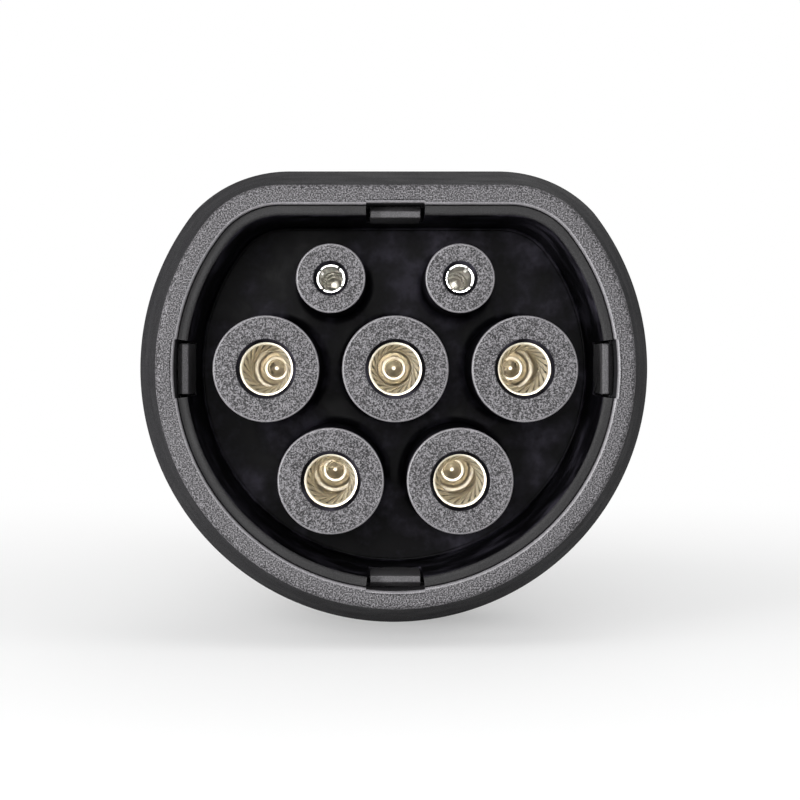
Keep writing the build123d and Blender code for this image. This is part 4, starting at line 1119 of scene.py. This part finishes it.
class CONNECTOR_OT_grip(bpy.types.Operator):
    """Build the rubber grip"""

    bl_idname = "connector.grip"
    bl_label = "Rubber Grip"

    def execute(self, context):
        _, _, handle, materials = settings(context)
        make_piece("rubber_grip", [build_grip(handle)], "grip_sleeve", [materials["rubber"]])
        return {"FINISHED"}


class CONNECTOR_OT_gland(bpy.types.Operator):
    """Build the gland nut"""

    bl_idname = "connector.gland"
    bl_label = "Gland Nut"

    def execute(self, context):
        _, _, handle, materials = settings(context)
        make_piece("cord_gland_nut", [build_nut(handle)], "gland_nut", [materials["gland"]])
        return {"FINISHED"}


class CONNECTOR_OT_inner_finishes(bpy.types.Operator):
    """Give a finish to each piece that keeps the frame's mesh"""

    bl_idname = "connector.inner_finishes"
    bl_label = "Inner Finishes"

    def execute(self, context):
        materials = settings(context)[-1]
        chosen = {
            "board": ["coding_board"],
            "resistor": ["coding_resistor"],
            "retainer": ["contact_retainer", "cord_clamp", "gland_claw"],
            "rubber": ["flange_gasket", "gland_seal"],
            "gland": ["gland_body"],
            "steel": [name for name in frame["nodes"] if "screws" in name or "spring" in name],
        }
        for key, names in chosen.items():
            for name in names:
                slots = frame["nodes"][name].data.materials
                slots.clear()
                slots.append(materials[key])
        return {"FINISHED"}


def floor_material():
    """White floor that takes shadows near the object and fades into plain white light further out."""
    material, tree = blank_material("pale_floor", (0.95, 0.95, 0.95), 0.8, specular=0.1)
    nodes, links = tree.nodes, tree.links
    coordinates = nodes.new("ShaderNodeTexCoord")
    distance = nodes.new("ShaderNodeVectorMath")
    distance.operation = "LENGTH"
    fade = nodes.new("ShaderNodeMapRange")
    fade.interpolation_type = "SMOOTHSTEP"
    fade.inputs["From Min"].default_value = 0.05
    fade.inputs["From Max"].default_value = 0.3
    fade.inputs["To Min"].default_value = 0.4
    path = nodes.new("ShaderNodeLightPath")
    glow = nodes.new("ShaderNodeEmission")
    strength = nodes.new("ShaderNodeMapRange")
    strength.inputs["To Min"].default_value = 0.5
    strength.inputs["To Max"].default_value = 1.0
    mix = nodes.new("ShaderNodeMixShader")
    links.new(coordinates.outputs["Object"], distance.inputs[0])
    links.new(distance.outputs["Value"], fade.inputs["Value"])
    links.new(path.outputs["Is Camera Ray"], strength.inputs["Value"])
    links.new(strength.outputs["Result"], glow.inputs["Strength"])
    links.new(fade.outputs["Result"], mix.inputs[0])
    links.new(nodes["Principled BSDF"].outputs["BSDF"], mix.inputs[1])
    links.new(glow.outputs["Emission"], mix.inputs[2])
    links.new(mix.outputs["Shader"], nodes["Material Output"].inputs["Surface"])
    return material


class CONNECTOR_OT_stage(bpy.types.Operator):
    """Build the floor, the lamps, the world and the camera"""

    bl_idname = "connector.stage"
    bl_label = "Stage"

    def execute(self, context):
        scene = context.scene
        half = 3.0
        mesh = bpy.data.meshes.new("floor")
        corners = [(-half, -half), (half, -half), (half, half), (-half, half)]
        mesh.from_pydata([(x, y, belly_bottom) for x, y in corners], [], [(0, 1, 2, 3)])
        floor = bpy.data.objects.new("floor", mesh)
        scene.collection.objects.link(floor)
        mesh.materials.append(floor_material())
        world = bpy.data.worlds.new("studio")
        scene.world = world
        world.use_nodes = True
        tree = world.node_tree
        background = tree.nodes["Background"]
        background.inputs["Color"].default_value = (1.0, 1.0, 1.0, 1.0)
        path = tree.nodes.new("ShaderNodeLightPath")
        strength = tree.nodes.new("ShaderNodeMix")
        strength.inputs["A"].default_value = 0.5
        strength.inputs["B"].default_value = 1.0
        tree.links.new(path.outputs["Is Camera Ray"], strength.inputs["Factor"])
        tree.links.new(strength.outputs["Result"], background.inputs["Strength"])
        lamps = {
            "front": ((-0.05, -0.62, 0.06), 0.3, 4.2),
            "key": ((-0.6, -0.65, 0.5), 0.55, 2.4),
            "fill": ((0.8, -0.4, 0.45), 0.7, 2.2),
            "low": ((-0.36, -0.42, 0.03), 0.12, 3.2),
            "back": ((0.3, 0.95, 0.75), 0.8, 2.6),
        }
        for name, (place, size, power) in lamps.items():
            data = bpy.data.lights.new(name, "AREA")
            data.size = size
            data.energy = power
            lamp = bpy.data.objects.new(name, data)
            scene.collection.objects.link(lamp)
            lamp.location = place
            aim = np.array([0.0, 0.03, 0.0]) - np.array(place)
            lamp.rotation_mode = "QUATERNION"
            lamp.rotation_quaternion = Vector(aim).to_track_quat("-Z", "Y")
        data = bpy.data.cameras.new("camera")
        camera = bpy.data.objects.new("camera", data)
        scene.collection.objects.link(camera)
        scene.camera = camera
        stand, width = 0.25, 0.0982
        eye, centre = np.array([-0.0022, 0.0007]), np.array([0.00055, -0.00381])
        camera.location = (eye[0], -stand, eye[1])
        camera.rotation_euler = (np.pi / 2, 0, 0)
        data.sensor_width = 36.0
        data.lens = 36.0 * stand / width
        data.shift_x, data.shift_y = (centre - eye) / width
        data.clip_start = 0.01
        scene.view_settings.view_transform = "Standard"
        return {"FINISHED"}


class CONNECTOR_PT_panel(bpy.types.Panel):
    """Lists what the add-on builds"""

    bl_idname = "CONNECTOR_PT_panel"
    bl_label = "Charging Connector"
    bl_space_type = "VIEW_3D"
    bl_region_type = "UI"
    bl_category = "Connector"

    def draw(self, context):
        for operator in operators:
            self.layout.operator(operator.bl_idname)
        for group_name in groups:
            group = getattr(context.scene, group_name)
            box = self.layout.box()
            for name in group.__annotations__:
                box.prop(group, name, text=name.replace("_", " ").capitalize())


groups = {
    "connector_nose": ConnectorNoseSizes,
    "connector_contacts": ConnectorContactSizes,
    "connector_handle": ConnectorHandleSizes,
    "connector_colours": ConnectorColours,
}
operators = (
    CONNECTOR_OT_shroud,
    CONNECTOR_OT_insert,
    CONNECTOR_OT_contacts,
    CONNECTOR_OT_handle,
    CONNECTOR_OT_grip,
    CONNECTOR_OT_gland,
    CONNECTOR_OT_inner_finishes,
    CONNECTOR_OT_stage,
)


def register():
    for group in groups.values():
        bpy.utils.register_class(group)
    for operator in operators:
        bpy.utils.register_class(operator)
    bpy.utils.register_class(CONNECTOR_PT_panel)
    for name, group in groups.items():
        setattr(bpy.types.Scene, name, PointerProperty(type=group))


def unregister():
    for name in groups:
        delattr(bpy.types.Scene, name)
    bpy.utils.unregister_class(CONNECTOR_PT_panel)
    for operator in reversed(operators):
        bpy.utils.unregister_class(operator)
    for group in reversed(groups.values()):
        bpy.utils.unregister_class(group)


def main():
    """Builds every piece and the stage."""
    register()
    for operator in operators:
        group, name = operator.bl_idname.split(".")
        getattr(getattr(bpy.ops, group), name)()


if __name__ == "__main__":
    main()
